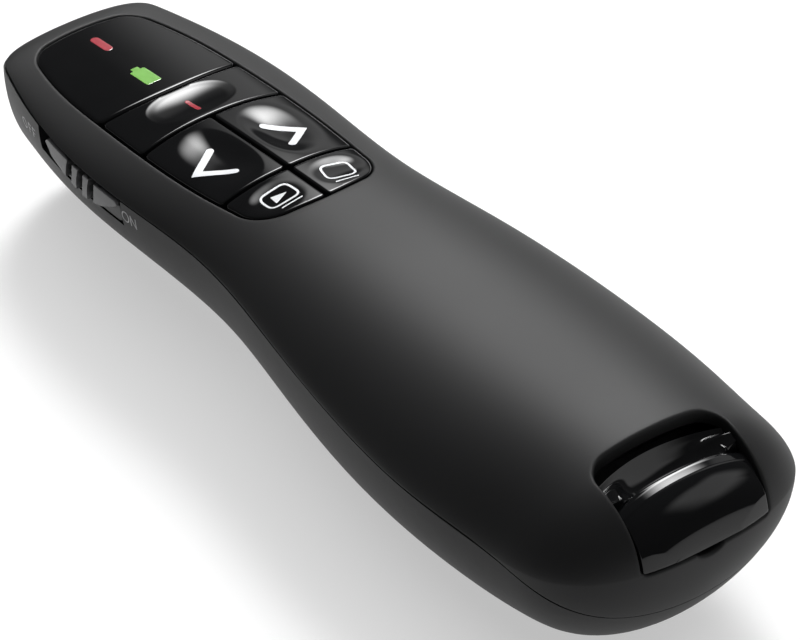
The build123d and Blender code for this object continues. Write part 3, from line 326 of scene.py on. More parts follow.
def key_top(name, x, y):
    """A key's upper surface: the body's crown, sunk by depth (1 - lean u) * bowl(u, v), deepest towards the
    middle line, or by the laser key's oval dish in its raised brim: brim * step(1 - away) - depth (1 -
    away^2), away being (|u|^p + |v|^p)^(1/p), which is 1 at the foot."""
    z = crown(x, y)
    if name == "laser":
        u, v = (x - PILL_X) / PILL_HALF, (y - PILL_Y) / (PILL_WIDTH / 2)
        away = (np.abs(u) ** PILL_POWER + np.abs(v) ** PILL_POWER) ** (1 / PILL_POWER)
        brim = PILL_RISE * smooth((PILL_BRIM - away) / PILL_EASE)
        return z + brim - PILL_DEPTH * np.maximum(1 - away**2, 0)
    depth, power, lean = BOWLS[name]
    side = np.interp(y, *CLUSTER_TABLE) - CLUSTER_CLEAR
    middle = (side + HALF_GAP) / 2
    across = (np.abs(x) - middle) / (middle - HALF_GAP - BOWL_RIM)
    near, far = ARROW_EDGE + HALF_GAP, bow(x, LASER_EDGE - HALF_GAP, LASER_BOW)
    if name in ("slideshow", "blank"):
        near, far = NEAR_ARC[0] + CLUSTER_CLEAR + NEAR_ARC[1] * (x / NEAR_ARC[2]) ** 2, ARROW_EDGE - HALF_GAP
    along = (y - (near + far) / 2) / ((far - near) / 2 - BOWL_RIM)
    return z - depth * (1 - lean * np.clip(across, -1, 1)) * bowl(across, along, power)


# ---- trimmed skins
def unit(v):
    return v / np.maximum(np.linalg.norm(v, axis=-1, keepdims=True), 1e-12)


def snap(surface, P, Q, around, level):
    """Moves the corners of a grid nearest to the edge onto it: along the grid line on which the field
    changes sign, by bisection."""
    value = level(surface(P, Q))
    best = np.full(P.shape, np.inf)
    move_p, move_q = np.zeros(P.shape), np.zeros(P.shape)
    for axis, step in ((0, 1), (0, -1), (1, 1), (1, -1)):
        other, op, oq = (np.roll(a, -step, axis) for a in (value, P, Q))
        dp, dq = op - P, oq - Q
        end = -1 if step == 1 else 0
        edge = (end,) if axis == 0 else (slice(None), end)
        if axis == 0 and around:
            dp[edge] = step * (P[1, 0] - P[0, 0])
        else:
            other[edge] = value[edge]
        crossing = value * other < 0
        t = np.where(crossing, value / np.where(crossing, value - other, 1), np.inf)
        better = (t <= 0.5) & (t < best)
        best = np.where(better, t, best)
        move_p, move_q = np.where(better, dp, move_p), np.where(better, dq, move_q)
    moved = np.isfinite(best)
    p0, q0, dp, dq, sign = P[moved], Q[moved], move_p[moved], move_q[moved], np.sign(value[moved])
    low, high = np.zeros(p0.shape), np.ones(p0.shape)
    for _ in range(HALVINGS):
        middle = (low + high) / 2
        same = level(surface(p0 + dp * middle, q0 + dq * middle)) * sign > 0
        low, high = np.where(same, middle, low), np.where(same, high, middle)
    P, Q = P.copy(), Q.copy()
    P[moved], Q[moved] = p0 + dp * low, q0 + dq * low
    return P, Q, np.where(moved, 0, np.sign(value))


def kept_faces(sign, centre, around):
    """Corner numbers of the faces inside the edge. A face with one corner outside is cut along its diagonal;
    a triangle repeats its last corner."""
    rows, cols = sign.shape
    I, J = np.meshgrid(np.arange(rows if around else rows - 1), np.arange(cols - 1), indexing="ij")
    N = (I + 1) % rows
    corners = np.stack([I * cols + J, N * cols + J, N * cols + J + 1, I * cols + J + 1], -1)
    s = sign.ravel()[corners]
    lowest, highest = s.min(-1), s.max(-1)
    whole = (lowest >= 0) & ((highest > 0) | (centre > 0))
    faces = [corners[whole]]
    for k in range(4):
        cut = (lowest < 0) & (highest > 0) & (s[..., k] > 0)
        c = corners[cut]
        last = c[:, (k + 3) % 4]
        faces.append(np.stack([c[:, k], c[:, (k + 1) % 4], last, last], -1))
    return np.concatenate(faces)


def weld(points, faces):
    """Joins corners that lie on each other, and drops what has no area left."""
    keys = np.round(points / WELD).astype(np.int64)
    _, first, back = np.unique(keys, axis=0, return_index=True, return_inverse=True)
    faces = back.ravel()[faces]
    distinct = (faces != np.roll(faces, -1, 1)).sum(1)
    faces = faces[distinct >= 3]
    used, faces = np.unique(faces, return_inverse=True)
    return points[first][used], faces.reshape(-1, 4)


def lines(bounds, step, before=0, after=0):
    """Grid lines both ways over an area, with some more before and after it."""
    return [np.arange(a - before * step, b + after * step, step) for a, b in (bounds[:2], bounds[2:])]


def skin_mesh(surface, grid, keep, lip, depth, around=False, down=False, rounds=4):
    """The surface over a grid's lines where keep is positive, as a closed wall `depth` thick: its edge rolls
    over by `lip`, a quarter circle from the tangent that leaves the piece to the direction into the body,
    and goes on as a wall to the inner side."""
    P, Q = np.meshgrid(*grid, indexing="ij")
    lips = lip if callable(lip) else (lambda at: lip)

    def level(at):
        return keep(at) - lips(at)

    P, Q, sign = snap(surface, P, Q, around, level)
    points = surface(P, Q)
    ring = np.roll(points, -1, 0) if around else points[1:]
    near = points if around else points[:-1]
    centre = (near[:, :-1] + near[:, 1:] + ring[:, :-1] + ring[:, 1:]) / 4
    faces = kept_faces(sign, level(centre), around)
    points, faces = weld(points.reshape(-1, 3), faces)
    a, b, c, d = (points[faces[:, k]] for k in range(4))
    across = np.cross(c - a, d - b)
    tri = (faces[:, 2] == faces[:, 3])
    across[tri] = np.cross(b - a, c - a)[tri]
    normals = np.zeros_like(points)
    for k in range(4):
        np.add.at(normals, faces[:, k], across)
    normals = unit(normals)
    outward = normals[:, 2].mean() if down else ((points - points.mean(0)) * normals).sum()
    if outward <= 0:
        normals, faces = -normals, faces[:, ::-1]
        faces = np.where((faces[:, [0]] == faces[:, [1]]), np.roll(faces, -1, 1), faces)
    total = len(points)
    edges = np.concatenate([faces[:, [k, (k + 1) % 4]] for k in range(4)])
    edges = edges[edges[:, 0] != edges[:, 1]]
    code, mirrored = edges[:, 0] * total + edges[:, 1], edges[:, 1] * total + edges[:, 0]
    rim = edges[~np.isin(mirrored, code)]
    border, rank = np.unique(rim, return_inverse=True)
    rank = rank.reshape(-1, 2)
    at, n = points[border], normals[border]
    nudges = NUDGE * np.eye(3)
    g = unit(np.stack([keep(at + nudge) - keep(at - nudge) for nudge in nudges], -1))
    lean = (g * n).sum(-1, keepdims=True)
    out, into = unit(lean * n - g), unit(lean * g - n)
    if down:
        into = np.broadcast_to(DOWN, n.shape)
    r = lips(at) * np.ones(len(at))
    inward = np.tile(DOWN, (total, 1)) if down else -normals
    inward[border] = into

    def band(a, b):
        return np.stack([a[rank[:, 1]], a[rank[:, 0]], b[rank[:, 0]], b[rank[:, 1]]], -1)

    rows, sheets = [points], [faces]
    last = border
    for k in range(1, rounds + 2):
        angle = math.pi / 2 * min(k, rounds) / rounds
        drop = r * (1 - math.cos(angle)) if k <= rounds else np.full(len(at), depth)
        rows.append(at + out * (r * math.sin(angle))[:, None] + into * drop[:, None])
        here = total + (k - 1) * len(border) + np.arange(len(border))
        sheets.append(band(last, here))
        last = here
    base = total + (rounds + 1) * len(border)
    rows.append(points + inward * depth)
    sheets += [band(last, base + border), faces[:, ::-1] + base]
    return np.concatenate(rows), np.concatenate(sheets)


def solid_faces(faces):
    """Face lists without repeated corners."""
    same = faces == np.roll(faces, -1, 1)
    whole = ~same.any(1)
    found = faces[whole].tolist()
    for k in range(4):
        cut = same[:, k] & (same.sum(1) == 1)
        found += np.delete(faces[cut], k, 1).tolist()
    return found


def make_object(name, skin, material):
    """An object from millimetre (points, faces), joined where they touch, with normals outwards."""
    points, faces = skin
    mesh = bpy.data.meshes.new(name)
    mesh.from_pydata((points * MM).tolist(), [], solid_faces(faces))
    work = bmesh.new()
    work.from_mesh(mesh)
    bmesh.ops.remove_doubles(work, verts=work.verts, dist=MERGE)
    bmesh.ops.recalc_face_normals(work, faces=work.faces)
    work.to_mesh(mesh)
    work.free()
    mesh.shade_smooth()
    mesh.set_sharp_from_angle(angle=math.radians(SHARP))
    mesh.materials.append(material)
    obj = bpy.data.objects.new(name, mesh)
    bpy.context.scene.collection.objects.link(obj)
    return obj


def joined(first, second):
    """Two (points, faces) as one."""
    return np.concatenate([first[0], second[0]]), np.concatenate([first[1], second[1] + len(first[0])])


def turned(profile, x, y):
    """A profile of (radius, height) turned about the upright axis at (x, y)."""
    r, z = np.array(profile, float).T
    n = TURNED_POINTS
    R, T = np.meshgrid(r, np.linspace(0, 2 * math.pi, n, endpoint=False), indexing="ij")
    points = np.stack([x + R * np.cos(T), y + R * np.sin(T), np.broadcast_to(z[:, None], R.shape)], -1)
    I, J = np.meshgrid(np.arange(len(r) - 1), np.arange(n), indexing="ij")
    N = (J + 1) % n
    faces = np.stack([I * n + J, I * n + N, (I + 1) * n + N, (I + 1) * n + J], -1).reshape(-1, 4)
    return points.reshape(-1, 3), faces


def arcs(a, corner, b, count):
    """Short parabolas from a to b that touch both sides of the corner."""
    t = np.linspace(0, 1, count)[None, :, None]
    return ((1 - t) ** 2 * a[:, None] + 2 * t * (1 - t) * corner[:, None] + t * t * b[:, None]).reshape(-1, 2)


def seen_from(axes, field):
    """A field of two coordinates, as one of the place: axes 0 and 1 from above, 1 and 2 from the side."""
    return lambda at: field(at[..., axes[0]], at[..., axes[1]])


def over(top, rise=0.0):
    """The surface that stands `rise` above the height top(x, y)."""
    return lambda x, y: np.stack([x, y, top(x, y) + rise], -1)


# ---- strokes of the printed marks
def strokes(u, v, runs, half):
    """Lines of even width with round ends: half width less the distance to the nearest segment of any run."""
    best = np.full(u.shape, -1e3)
    for run in runs:
        for (ax, ay), (bx, by) in zip(run[:-1], run[1:]):
            dx, dy = bx - ax, by - ay
            t = np.clip(((u - ax) * dx + (v - ay) * dy) / (dx * dx + dy * dy), 0, 1)
            best = np.maximum(best, half - np.hypot(u - ax - t * dx, v - ay - t * dy))
    return best


def arrow_head(u, v, run, half):
    """A stroke of two arms with round ends and a sharp corner, where the crossing of both arms' endless
    bands is added."""
    (ax, ay), (cx, cy), (bx, by) = run
    bands = []
    for ex, ey in ((ax, ay), (bx, by)):
        length = math.hypot(ex - cx, ey - cy)
        bands.append(half - np.abs((u - cx) * (ey - cy) - (v - cy) * (ex - cx)) / length)
    corner = np.minimum(np.minimum(*bands), ARROW_REACH * half - np.hypot(u - cx, v - cy))
    return np.maximum(strokes(u, v, [run], half), corner)


def filled(u, v, corners):
    """Inside a convex polygon given counterclockwise: the least distance to its sides."""
    field = np.full(u.shape, 1e3)
    for (ax, ay), (bx, by) in zip(corners, corners[1:] + corners[:1]):
        length = math.hypot(bx - ax, by - ay)
        field = np.minimum(field, ((bx - ax) * (v - ay) - (by - ay) * (u - ax)) / length)
    return field


def outline_of(points):
    """A closed run round the corners given, each corner replaced by a short arc."""
    p = np.array(points, float)
    sides = (np.roll(p, 1, 0) - p, np.roll(p, -1, 0) - p)
    a, b = (p + side / np.linalg.norm(side, axis=1, keepdims=True) * OUTLINE_CORNER for side in sides)
    run = arcs(a, p, b, OUTLINE_POINTS)
    return [tuple(c) for c in np.concatenate([run, run[:1]])]


def print_on(name, top, field, bounds, step, material, body_name, rise=PRINT_RISE):
    """A thin print on a key or the window: the surface `top` lifted by `rise`, where the mark's field is
    positive."""
    grid, keep = lines(bounds, step, after=1), seen_from(ABOVE, field)
    skin = skin_mesh(over(top, rise), grid, keep, PRINT_LIP, PRINT_DEEP, down=True, rounds=2)
    obj = make_object(name, skin, material)
    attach(obj, body_name)


ARROW_HALF, ICON_HALF, ICON_BAR = 0.46, 0.14, 0.1
BACK_RUN = [(-4.0, 24.1), (-7.7, 21.45), (-4.4, 18.85)]
NEXT_RUN = [(3.45, 24.25), (6.35, 21.0), (3.7, 19.15)]
LEFT_FRAME = outline_of([(-5.8, 12.7), (-2.1, 12.8), (-1.95, 10.0), (-5.9, 9.95)])
RIGHT_FRAME = outline_of([(2.6, 12.9), (6.1, 12.5), (5.5, 9.6), (1.9, 10.1)])
LEFT_BAR, RIGHT_BAR = [(-5.0, 9.25), (-2.3, 9.35)], [(2.3, 9.2), (5.1, 8.95)]
PLAY = [(-4.7, 11.95), (-4.85, 10.55), (-2.85, 11.35)]
# the prints, whose names start with their key's: what draws them, from what, bounds and mesh spacing
MARKS = {
    "laser_dash": (strokes, {"runs": [[(0, 31.7), (0, 33.9)]], "half": 0.28}, (-0.8, 0.8, 31.0, 34.6), 0.08),
    "back_arrow": (arrow_head, {"run": BACK_RUN, "half": ARROW_HALF}, (-8.6, -3.2, 18.0, 25.0), 0.08),
    "next_arrow": (arrow_head, {"run": NEXT_RUN, "half": ARROW_HALF}, (2.8, 7.2, 18.2, 25.0), 0.08),
    "slideshow_frame": (strokes, {"runs": [LEFT_FRAME], "half": ICON_HALF}, (-6.6, -1.2, 9.3, 13.4), 0.06),
    "slideshow_arrow": (filled, {"corners": PLAY}, (-5.2, -2.5, 10.2, 12.3), 0.05),
    "slideshow_bar": (strokes, {"runs": [LEFT_BAR], "half": ICON_BAR}, (-5.4, -1.9, 8.9, 9.8), 0.05),
    "blank_frame": (strokes, {"runs": [RIGHT_FRAME], "half": ICON_HALF}, (1.2, 6.8, 9.0, 13.5), 0.06),
    "blank_bar": (strokes, {"runs": [RIGHT_BAR], "half": ICON_BAR}, (1.9, 5.6, 8.6, 9.6), 0.05),
}
# the words by the switch: each letter's runs round its middle; each word's letters, their places, and bounds
TALL = 0.675
LETTERS = {
    "o": [[(0.58 * math.cos(a), TALL * math.sin(a)) for a in np.linspace(0, 2 * math.pi, 25)]],
    "n": [[(0.45, -TALL), (0.45, TALL), (-0.45, -TALL), (-0.45, TALL)]],
    "f": [[(0.35, -TALL), (0.35, TALL), (-0.35, TALL)], [(0.35, 0.05), (-0.25, 0.05)]],
}
WORDS = {
    "word_on": ((("o", 25.7, 17.75), ("n", 24.3, 17.75)), (23.4, 26.6, 16.8, 18.7)),
    "word_off": ((("o", 48.7, 16.35), ("f", 46.95, 16.65), ("f", 45.7, 16.85)), (45.0, 49.6, 15.4, 17.8)),
}
WORD_RISE, WORD_HALF, WORD_STEP, WORD_LIP, WORD_DEEP = 0.012, 0.085, 0.05, 0.01, 0.025


# ---- shader wiring
class Wire:
    """A socket that can be written into expressions."""

    def __init__(self, wiring, socket):
        self.wiring, self.socket = wiring, socket

    def _math(self, operation, other):
        return self.wiring.node("ShaderNodeMath", {"operation": operation}, {0: self, 1: other})

    def __add__(self, other):
        return self._math("ADD", other)

    def __mul__(self, other):
        return self._math("MULTIPLY", other)

    def __gt__(self, other):
        return self._math("GREATER_THAN", other)

    def __lt__(self, other):
        return self._math("LESS_THAN", other)


class Wiring:
    """A node tree being put together."""

    def __init__(self, tree):
        self.tree = tree

    def feed(self, socket, value):
        """Links a wire to a socket, or writes a constant on it."""
        if isinstance(value, Wire):
            self.tree.links.new(value.socket, socket)
        else:
            socket.default_value = value

    def node(self, kind, settings=(), inputs=(), out=0):
        """Adds a node of this kind, sets its settings, feeds its inputs, and returns one output."""
        node = self.tree.nodes.new(kind)
        for key, value in dict(settings).items():
            setattr(node, key, value)
        for key, value in dict(inputs).items():
            self.feed(node.inputs[key], value)
        return Wire(self, node.outputs[out])


class Finish(Wiring):
    """One material being put together round a Principled shader."""

    def __init__(self, name, **constants):
        self.material = bpy.data.materials.new(name)
        self.material.use_nodes = True
        super().__init__(self.material.node_tree)
        self.shader = self.tree.nodes["Principled BSDF"]
        for socket, value in constants.items():
            self.set(socket.replace("_", " "), value)
        self.place = self.node("ShaderNodeTexCoord", out="Object")

    def set(self, socket, value):
        self.feed(self.shader.inputs[socket], value)

    def grain(self, size, detail=2.0, roughness=0.5, stretch=None):
        """Noise with features about `size` metres across."""
        place = self.place
        if stretch:
            place = self.node("ShaderNodeMapping", {}, {"Vector": place, "Scale": stretch})
        inputs = {"Vector": place, "Scale": 1.0 / size, "Detail": detail, "Roughness": roughness}
        return self.node("ShaderNodeTexNoise", {}, inputs)

    def between(self, factor, low, high):
        """A colour or value between two, by factor."""
        if isinstance(low, tuple):
            inputs = {"Factor": factor, 6: low + (1.0,), 7: high + (1.0,)}
            return self.node("ShaderNodeMix", {"data_type": "RGBA"}, inputs, out=2)
        return self.node("ShaderNodeMapRange", {}, {"Value": factor, "To Min": low, "To Max": high})

    def done(self, colours, roughness, height, strength, distance):
        """The material, given colour and roughness, each as a factor and two ends, and a bump."""
        self.set("Base Color", self.between(*colours))
        self.set("Roughness", self.between(*roughness))
        bump = {"Height": height, "Strength": strength, "Distance": distance}
        self.set("Normal", self.node("ShaderNodeBump", {}, bump))
        return self.material


def shade(tone, factor=1.0, lift=0.0):
    """A colour made lighter or darker by a factor, and lifted."""
    return tuple(c * factor + lift for c in tone[:3])


def soft_touch(name, tone):
    """Rubbery paint: near-black, a broad soft gloss, dusty unevenness and a grain just over a tenth of a
    millimetre."""
    f = Finish(name, Specular_IOR_Level=0.24)
    cloud, speck = f.grain(0.022, 3.0), f.grain(0.00012)
    colours = (cloud * 0.7 + speck * 0.3, shade(tone), shade(tone, 1.25))
    return f.done(colours, (cloud * 0.6 + speck * 0.4, 0.49, 0.57), speck, 0.12, 0.00002)


def gloss(name, tone, roughness=0.035, waviness=0.02):
    """Polished moulded plastic: deep colour, a hard reflection, and a moulding's faint waviness and dust."""
    f = Finish(name, Specular_IOR_Level=0.32)
    wave, dust = f.grain(0.006, 1.0), f.grain(0.0004)
    colours = (wave, shade(tone), shade(tone, 1.4, 0.001))
    return f.done(colours, (dust, roughness, roughness + 0.03), wave, waviness, 0.0002)


def plastic(name, tone, roughness=0.45, grain=0.0003):
    """Plain moulded plastic with a spark-eroded grain."""
    f = Finish(name)
    speck, cloud = f.grain(grain), f.grain(0.008)
    colours = (cloud, shade(tone), shade(tone, 1.2, 0.002))
    return f.done(colours, (speck, roughness - 0.06, roughness + 0.08), speck, 0.15, 0.00003)


def knob_finish(name, tone, base):
    """Satin grip on a dull base: the grip's lighter colour is a painted sheen, and the mesh's own grip
    attribute chooses between the two.
    """
    f = Finish(name, Specular_IOR_Level=0.5)
    grip = f.node("ShaderNodeAttribute", {"attribute_name": "grip"}, out=2)
    speck = f.grain(0.0003)
    colours = (grip, shade(base), shade(tone))
    return f.done(colours, (grip * 0.9 + speck * 0.1, 0.55, 0.24), speck, 0.06, 0.00002)


def ink(name, tone):
    """Screen-printed ink: slightly uneven cover and a satin face."""
    f = Finish(name)
    speck = f.grain(0.0001)
    return f.done((speck, shade(tone, 0.9), shade(tone)), (speck, 0.3, 0.42), speck, 0.1, 0.00001)


def glow(name, tone, strength):
    """A lit mark under the dark window: coloured, faintly uneven, with the window's own polish over it. On
    the laser key's printed red dash the same faint light is a painted glow.
    """
    f = Finish(name, Coat_Weight=1.0, Coat_Roughness=0.03, Emission_Strength=strength)
    cloud = f.grain(0.0012)
    f.set("Base Color", f.between(cloud, shade(tone, 0.75), shade(tone)))
    f.set("Emission Color", f.between(cloud, shade(tone, 0.7), shade(tone)))
    f.set("Roughness", f.between(cloud, 0.2, 0.3))
    return f.material


def metal(name, tone, roughness=0.25, along=None):
    """Metal with the fine drawn or turned lines of its making."""
    f = Finish(name, Metallic=1.0)
    line = f.grain(0.0004, 3.0, 0.6, along)
    colours = (line, shade(tone, 0.8), shade(tone))
    return f.done(colours, (line, roughness, roughness + 0.15), line, 0.08, 0.00002)


def board_finish(name):
    """Green solder mask: copper runs show through as lighter bands between pads, over a faint glass weave."""
    f = Finish(name, Coat_Weight=0.6, Coat_Roughness=0.15)
    cells = {"Vector": f.place, "Scale": 420.0}
    lines = {"Vector": f.place, "Scale": 900.0, "Distortion": 1.0}
    track = f.node("ShaderNodeTexVoronoi", {"feature": "DISTANCE_TO_EDGE"}, cells) < 0.09
    weave = f.node("ShaderNodeTexWave", {"bands_direction": "DIAGONAL"}, lines, out=1)
    colours = (track * 0.75 + weave * 0.2, (0.004, 0.05, 0.018), (0.02, 0.16, 0.05))
    return f.done(colours, (track, 0.34, 0.26), track * 0.7 + weave * 0.1, 0.3, 0.00003)


def jacket_finish(name):
    """A dry cell's plastic sleeve: dark along most of its length with a copper-coloured end, finely
    grained."""
    f = Finish(name, Coat_Weight=0.4, Coat_Roughness=0.12)
    end = f.node("ShaderNodeSeparateXYZ", {}, {"Vector": f.place}, out=1) > -0.013
    grain = f.grain(0.0006, stretch=(1, 0.2, 1))
    f.set("Metallic", f.between(end, 0.0, 0.7))
    colours = (end * 0.9 + grain * 0.1, (0.02, 0.022, 0.026), (0.55, 0.27, 0.12))
    return f.done(colours, (grain, 0.28, 0.4), grain, 0.08, 0.00003)


def clear_finish(name, tone):
    """Clear moulded plastic or glass, with faint flow lines."""
    f = Finish(name, Transmission_Weight=0.85, IOR=1.5)
    flow = f.grain(0.002, stretch=(1, 0.3, 1))
    return f.done((flow, shade(tone, 0.9), shade(tone)), (flow, 0.08, 0.16), flow, 0.05, 0.00003)


# colour, roughness and grain of the plain slots, by the function that makes them
SLOTS = {
    plastic: {
        "frame_black": ((0.012, 0.012, 0.013), 0.42),
        "switch_body": ((0.03, 0.03, 0.032), 0.38),
        "switch_plunger": ((0.55, 0.5, 0.4), 0.4),
        "chip_black": ((0.015, 0.015, 0.016), 0.5, 0.0002),
        "flex_amber": ((0.45, 0.2, 0.04), 0.3),
        "lead_red": ((0.5, 0.02, 0.02), 0.35),
        "lead_black": ((0.02, 0.02, 0.02), 0.35),
        "receiver_case": ((0.014, 0.014, 0.015), 0.4),
        "usb_insulator": ((0.62, 0.62, 0.6), 0.4),
        "dock_black": ((0.016, 0.016, 0.017), 0.5),
    },
    metal: {
        "contact_nickel": ((0.66, 0.63, 0.57), 0.2),
        "crystal_can": ((0.7, 0.7, 0.72), 0.18),
        "laser_brass": ((0.72, 0.52, 0.24), 0.22),
        "diode_can": ((0.68, 0.6, 0.42), 0.2),
        "usb_steel": ((0.66, 0.67, 0.68), 0.2, (1, 0.15, 1)),
        "gold_pins": ((0.85, 0.62, 0.25), 0.18),
    },
    clear_finish: {
        "led_red": ((0.75, 0.12, 0.1),),
        "led_green": ((0.2, 0.7, 0.25),),
        "light_pipe": ((0.85, 0.87, 0.9),),
        "lens_glass": ((0.8, 0.85, 0.9),),
    },
}


# ---- colours, sizes and levels a user may change
def a_colour(name, text, value):
    return FloatVectorProperty(name=name, description=text, default=value, min=0, max=1, subtype="COLOR")


def a_length(name, text, value, low, high):
    return FloatProperty(name=name, description=text, default=value, min=low, max=high, unit="LENGTH")


def a_level(name, text, value, high=100, low=0):
    return FloatProperty(name=name, description=text, default=value, min=low, max=high)


class ClickerLook(bpy.types.PropertyGroup):
    shell: a_colour("Shell", "Soft-touch paint of the shells", (0.0075, 0.0076, 0.0079))
    shell_grain: a_length("Skin spacing", "Spacing of the shell's mesh", 0.00042, 0.0002, 0.002)
    opening_lip: a_length("Opening lip", "Rounding of the shell round the keys", 0.00035, 0.0001, 0.0008)
    slot_lip: a_length("Slot lip", "Rounding of the shell round the tail slot", 0.0004, 0.0001, 0.001)
    seam_lip: a_length("Seam lip", "Rounding of the shell along its seam", 0.00012, 0.00005, 0.0004)


class ClickerKeys(bpy.types.PropertyGroup):
    polish: a_colour("Gloss black", "Colour of the window, keys and cap", (0.0028, 0.0029, 0.0032))
    lip: a_length("Key lip", "Rounding of the keys' edges", 0.00024, 0.0001, 0.0008)
    window_lip: a_length("Window lip", "Rounding of the window's edge", 0.00045, 0.0001, 0.0008)
    mesh: a_length("Key mesh", "Spacing of the keys' mesh", 0.00016, 0.0001, 0.0006)
    # the knob's colour is lighter than the shell as a painted sheen on the grip
    knob: a_colour("Knob", "Satin colour of the power switch", (0.085, 0.085, 0.088))
    print_white: a_colour("White print", "Colour of the arrows and icons", (0.66, 0.67, 0.69))
    print_grey: a_colour("Grey print", "Colour of the words by the switch", (0.34, 0.34, 0.35))
    red: a_colour("Red mark", "Colour of the laser indicator", (0.36, 0.03, 0.045))
    green: a_colour("Green mark", "Colour of the battery indicator", (0.17, 0.43, 0.07))


class ClickerStage(bpy.types.PropertyGroup):
    floor: a_colour("Floor", "Colour of the floor", (0.48, 0.48, 0.48))
    floor_glow: a_level("Floor glow", "Light that the floor shows of its own where it is seen", 0.5, 1)
    strip: a_level("Strip", "Brightness of the tall softbox beyond the nose", 31.0)
    glow: a_level("Glow", "Brightness of the dim panel below it", 0.6)
    side: a_level("Side", "Brightness of the panel on the right", 1.2)
    overhead: a_level("Overhead", "Brightness of the even light from above", 1.5)
    surround: a_level("Surround", "Brightness of the room", 0.07, 10)
    lens: a_level("Lens", "Focal length of the camera, in millimetres", 272.41, 400, 20)


def mm(value):
    return value / MM


# ---- operators
class BuildShells(bpy.types.Operator):
    """The top shell, rebuilt fine with rolled lips round the keys and the tail slot and along the seam"""

    bl_idname = "clicker.shells"
    bl_label = "Shells"

    def execute(self, context):
        look = context.scene.clicker_look
        step = mm(look.shell_grain)
        opening, rim, seam = mm(look.opening_lip), mm(look.slot_lip), mm(look.seam_lip)
        turns = np.linspace(-math.pi, math.pi, int(AROUND / step), endpoint=False)
        along = np.linspace(0, ALONG_ARC[-1], int(ALONG_ARC[-1] / step))
        split_y = np.linspace(-60, 60, 600)
        split_z = through(SPLIT_LINE, split_y)
        tilt = np.hypot(1, np.gradient(split_z, split_y))

        def above(p):
            y, z = p[..., 1], p[..., 2]
            return (z - np.interp(y, split_y, split_z)) / np.interp(y, split_y, tilt)

        def keep(p):
            return np.minimum(np.minimum(above(p) - SEAM_GAP, -cluster(p[..., 0], p[..., 1])), -slot(p))

        def lip(p):
            by_seam = above(p) < SEAM_NEAR
            by_slot = (p[..., 1] < SLOT_NEAR) & ~by_seam
            off_keys = np.abs(cluster(p[..., 0], p[..., 1])) > KEYS_NEAR
            return np.where(by_seam & off_keys, seam, np.where(by_slot, rim, opening))

        skin = skin_mesh(body, (turns, along), keep, lip, WALL, around=True)
        top = make_object("shell_top", skin, soft_touch("soft_touch", look.shell))
        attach(top, "housing")
        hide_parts("top_shell")
        return {"FINISHED"}


def battery(x, y):
    """The battery indicator: a can with a nub on its far end."""
    can = box_field(x, y, (-1.45, 0.55, 39.5, 43.0), 0.2)
    return np.maximum(can, box_field(x, y, (-0.95, 0.05, 42.8, 43.6), 0.1))


def laser_bar(x, y):
    """The laser indicator: one upright stroke."""
    return strokes(x, y, [[(0, 49.3), (0, 51.8)]], 0.55)


class BuildWindow(bpy.types.Operator):
    """The glossy indicator window and the two marks lit behind it"""

    bl_idname = "clicker.window"
    bl_label = "Window"

    def execute(self, context):
        keys = context.scene.clicker_keys
        grid, lip = lines(WINDOW_AREA, WINDOW_STEP), mm(keys.window_lip)
        skin = skin_mesh(over(crown), grid, window_field, lip, WINDOW_DEEP, down=True)
        obj = make_object("indicator_window", skin, gloss("gloss_window", keys.polish, 0.03, 0.015))
        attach(obj, "housing")
        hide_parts("window")
        red, green = glow("mark_red", keys.red, 0.06), glow("mark_green", keys.green, 0.08)
        print_on("red_mark", crown, laser_bar, (-1.2, 1.2, 48.2, 53), 0.1, red, "housing", LIT_RISE)
        print_on("green_mark", crown, battery, (-1.9, 1.0, 39.0, 44.0), 0.1, green, "housing", LIT_RISE)
        return {"FINISHED"}


class BuildKeys(bpy.types.Operator):
    """The five glossy keys with their bowls and the laser key's oval dish, and the prints on them"""

    bl_idname = "clicker.keys"
    bl_label = "Keys"

    def execute(self, context):
        keys = context.scene.clicker_keys
        step = mm(keys.mesh)
        material = gloss("gloss_keys", keys.polish, 0.03, 0.02)
        for name, (area, (x, y)) in KEYS.items():
            top, keep = partial(key_top, name), seen_from(ABOVE, partial(key_field, name))
            cap = skin_mesh(over(top), lines(area, step), keep, mm(keys.lip), KEY_DEEP, down=True)
            low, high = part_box(name + "_button")[0][2] / MM, top(np.array(x), np.array(y))
            foot = [(r, low + rise) for r, rise in STEM_FOOT] + [(r, high + drop) for r, drop in STEM_TOP]
            obj = make_object(name + "_key", joined(cap, turned(foot, x, y)), material)
            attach(obj, name + "_key")
            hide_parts(name + "_button")
        # the laser key's printed red dash is given a faint painted glow
        white, red = ink("white_print", keys.print_white), glow("mark_red_dash", keys.red, 0.03)
        for name, (shape, values, bounds, step) in MARKS.items():
            key = name.split("_")[0]
            top, field = partial(key_top, key), partial(shape, **values)
            print_on(name, top, field, bounds, step, red if key == "laser" else white, key + "_key")
        return {"FINISHED"}


class BuildCap(bpy.types.Operator):
    """The receiver's glossy tail cap, with its finger pocket and ears"""

    bl_idname = "clicker.cap"
    bl_label = "Receiver cap"

    def execute(self, context):
        material = gloss("gloss_cap", context.scene.clicker_keys.polish, 0.045, 0.02)
        obj = make_object("receiver_tail_cap", cap_mesh(), material)
        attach(obj, "receiver")
        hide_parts("receiver_cap")
        return {"FINISHED"}


def rounded_run(points, radius):
    """A run of points with each inner corner replaced by a short arc of about that radius."""
    p = np.array(points, float)
    a, b = np.linalg.norm(p[1:-1] - p[:-2], axis=1), np.linalg.norm(p[2:] - p[1:-1], axis=1)
    r = np.minimum(np.array(radius, float), 0.45 * np.minimum(a, b))[:, None]
    back = p[1:-1] + (p[:-2] - p[1:-1]) / a[:, None] * r
    ahead = p[1:-1] + (p[2:] - p[1:-1]) / b[:, None] * r
    return np.concatenate([p[:1], arcs(back, p[1:-1], ahead, ROUND_POINTS), p[-1:]])


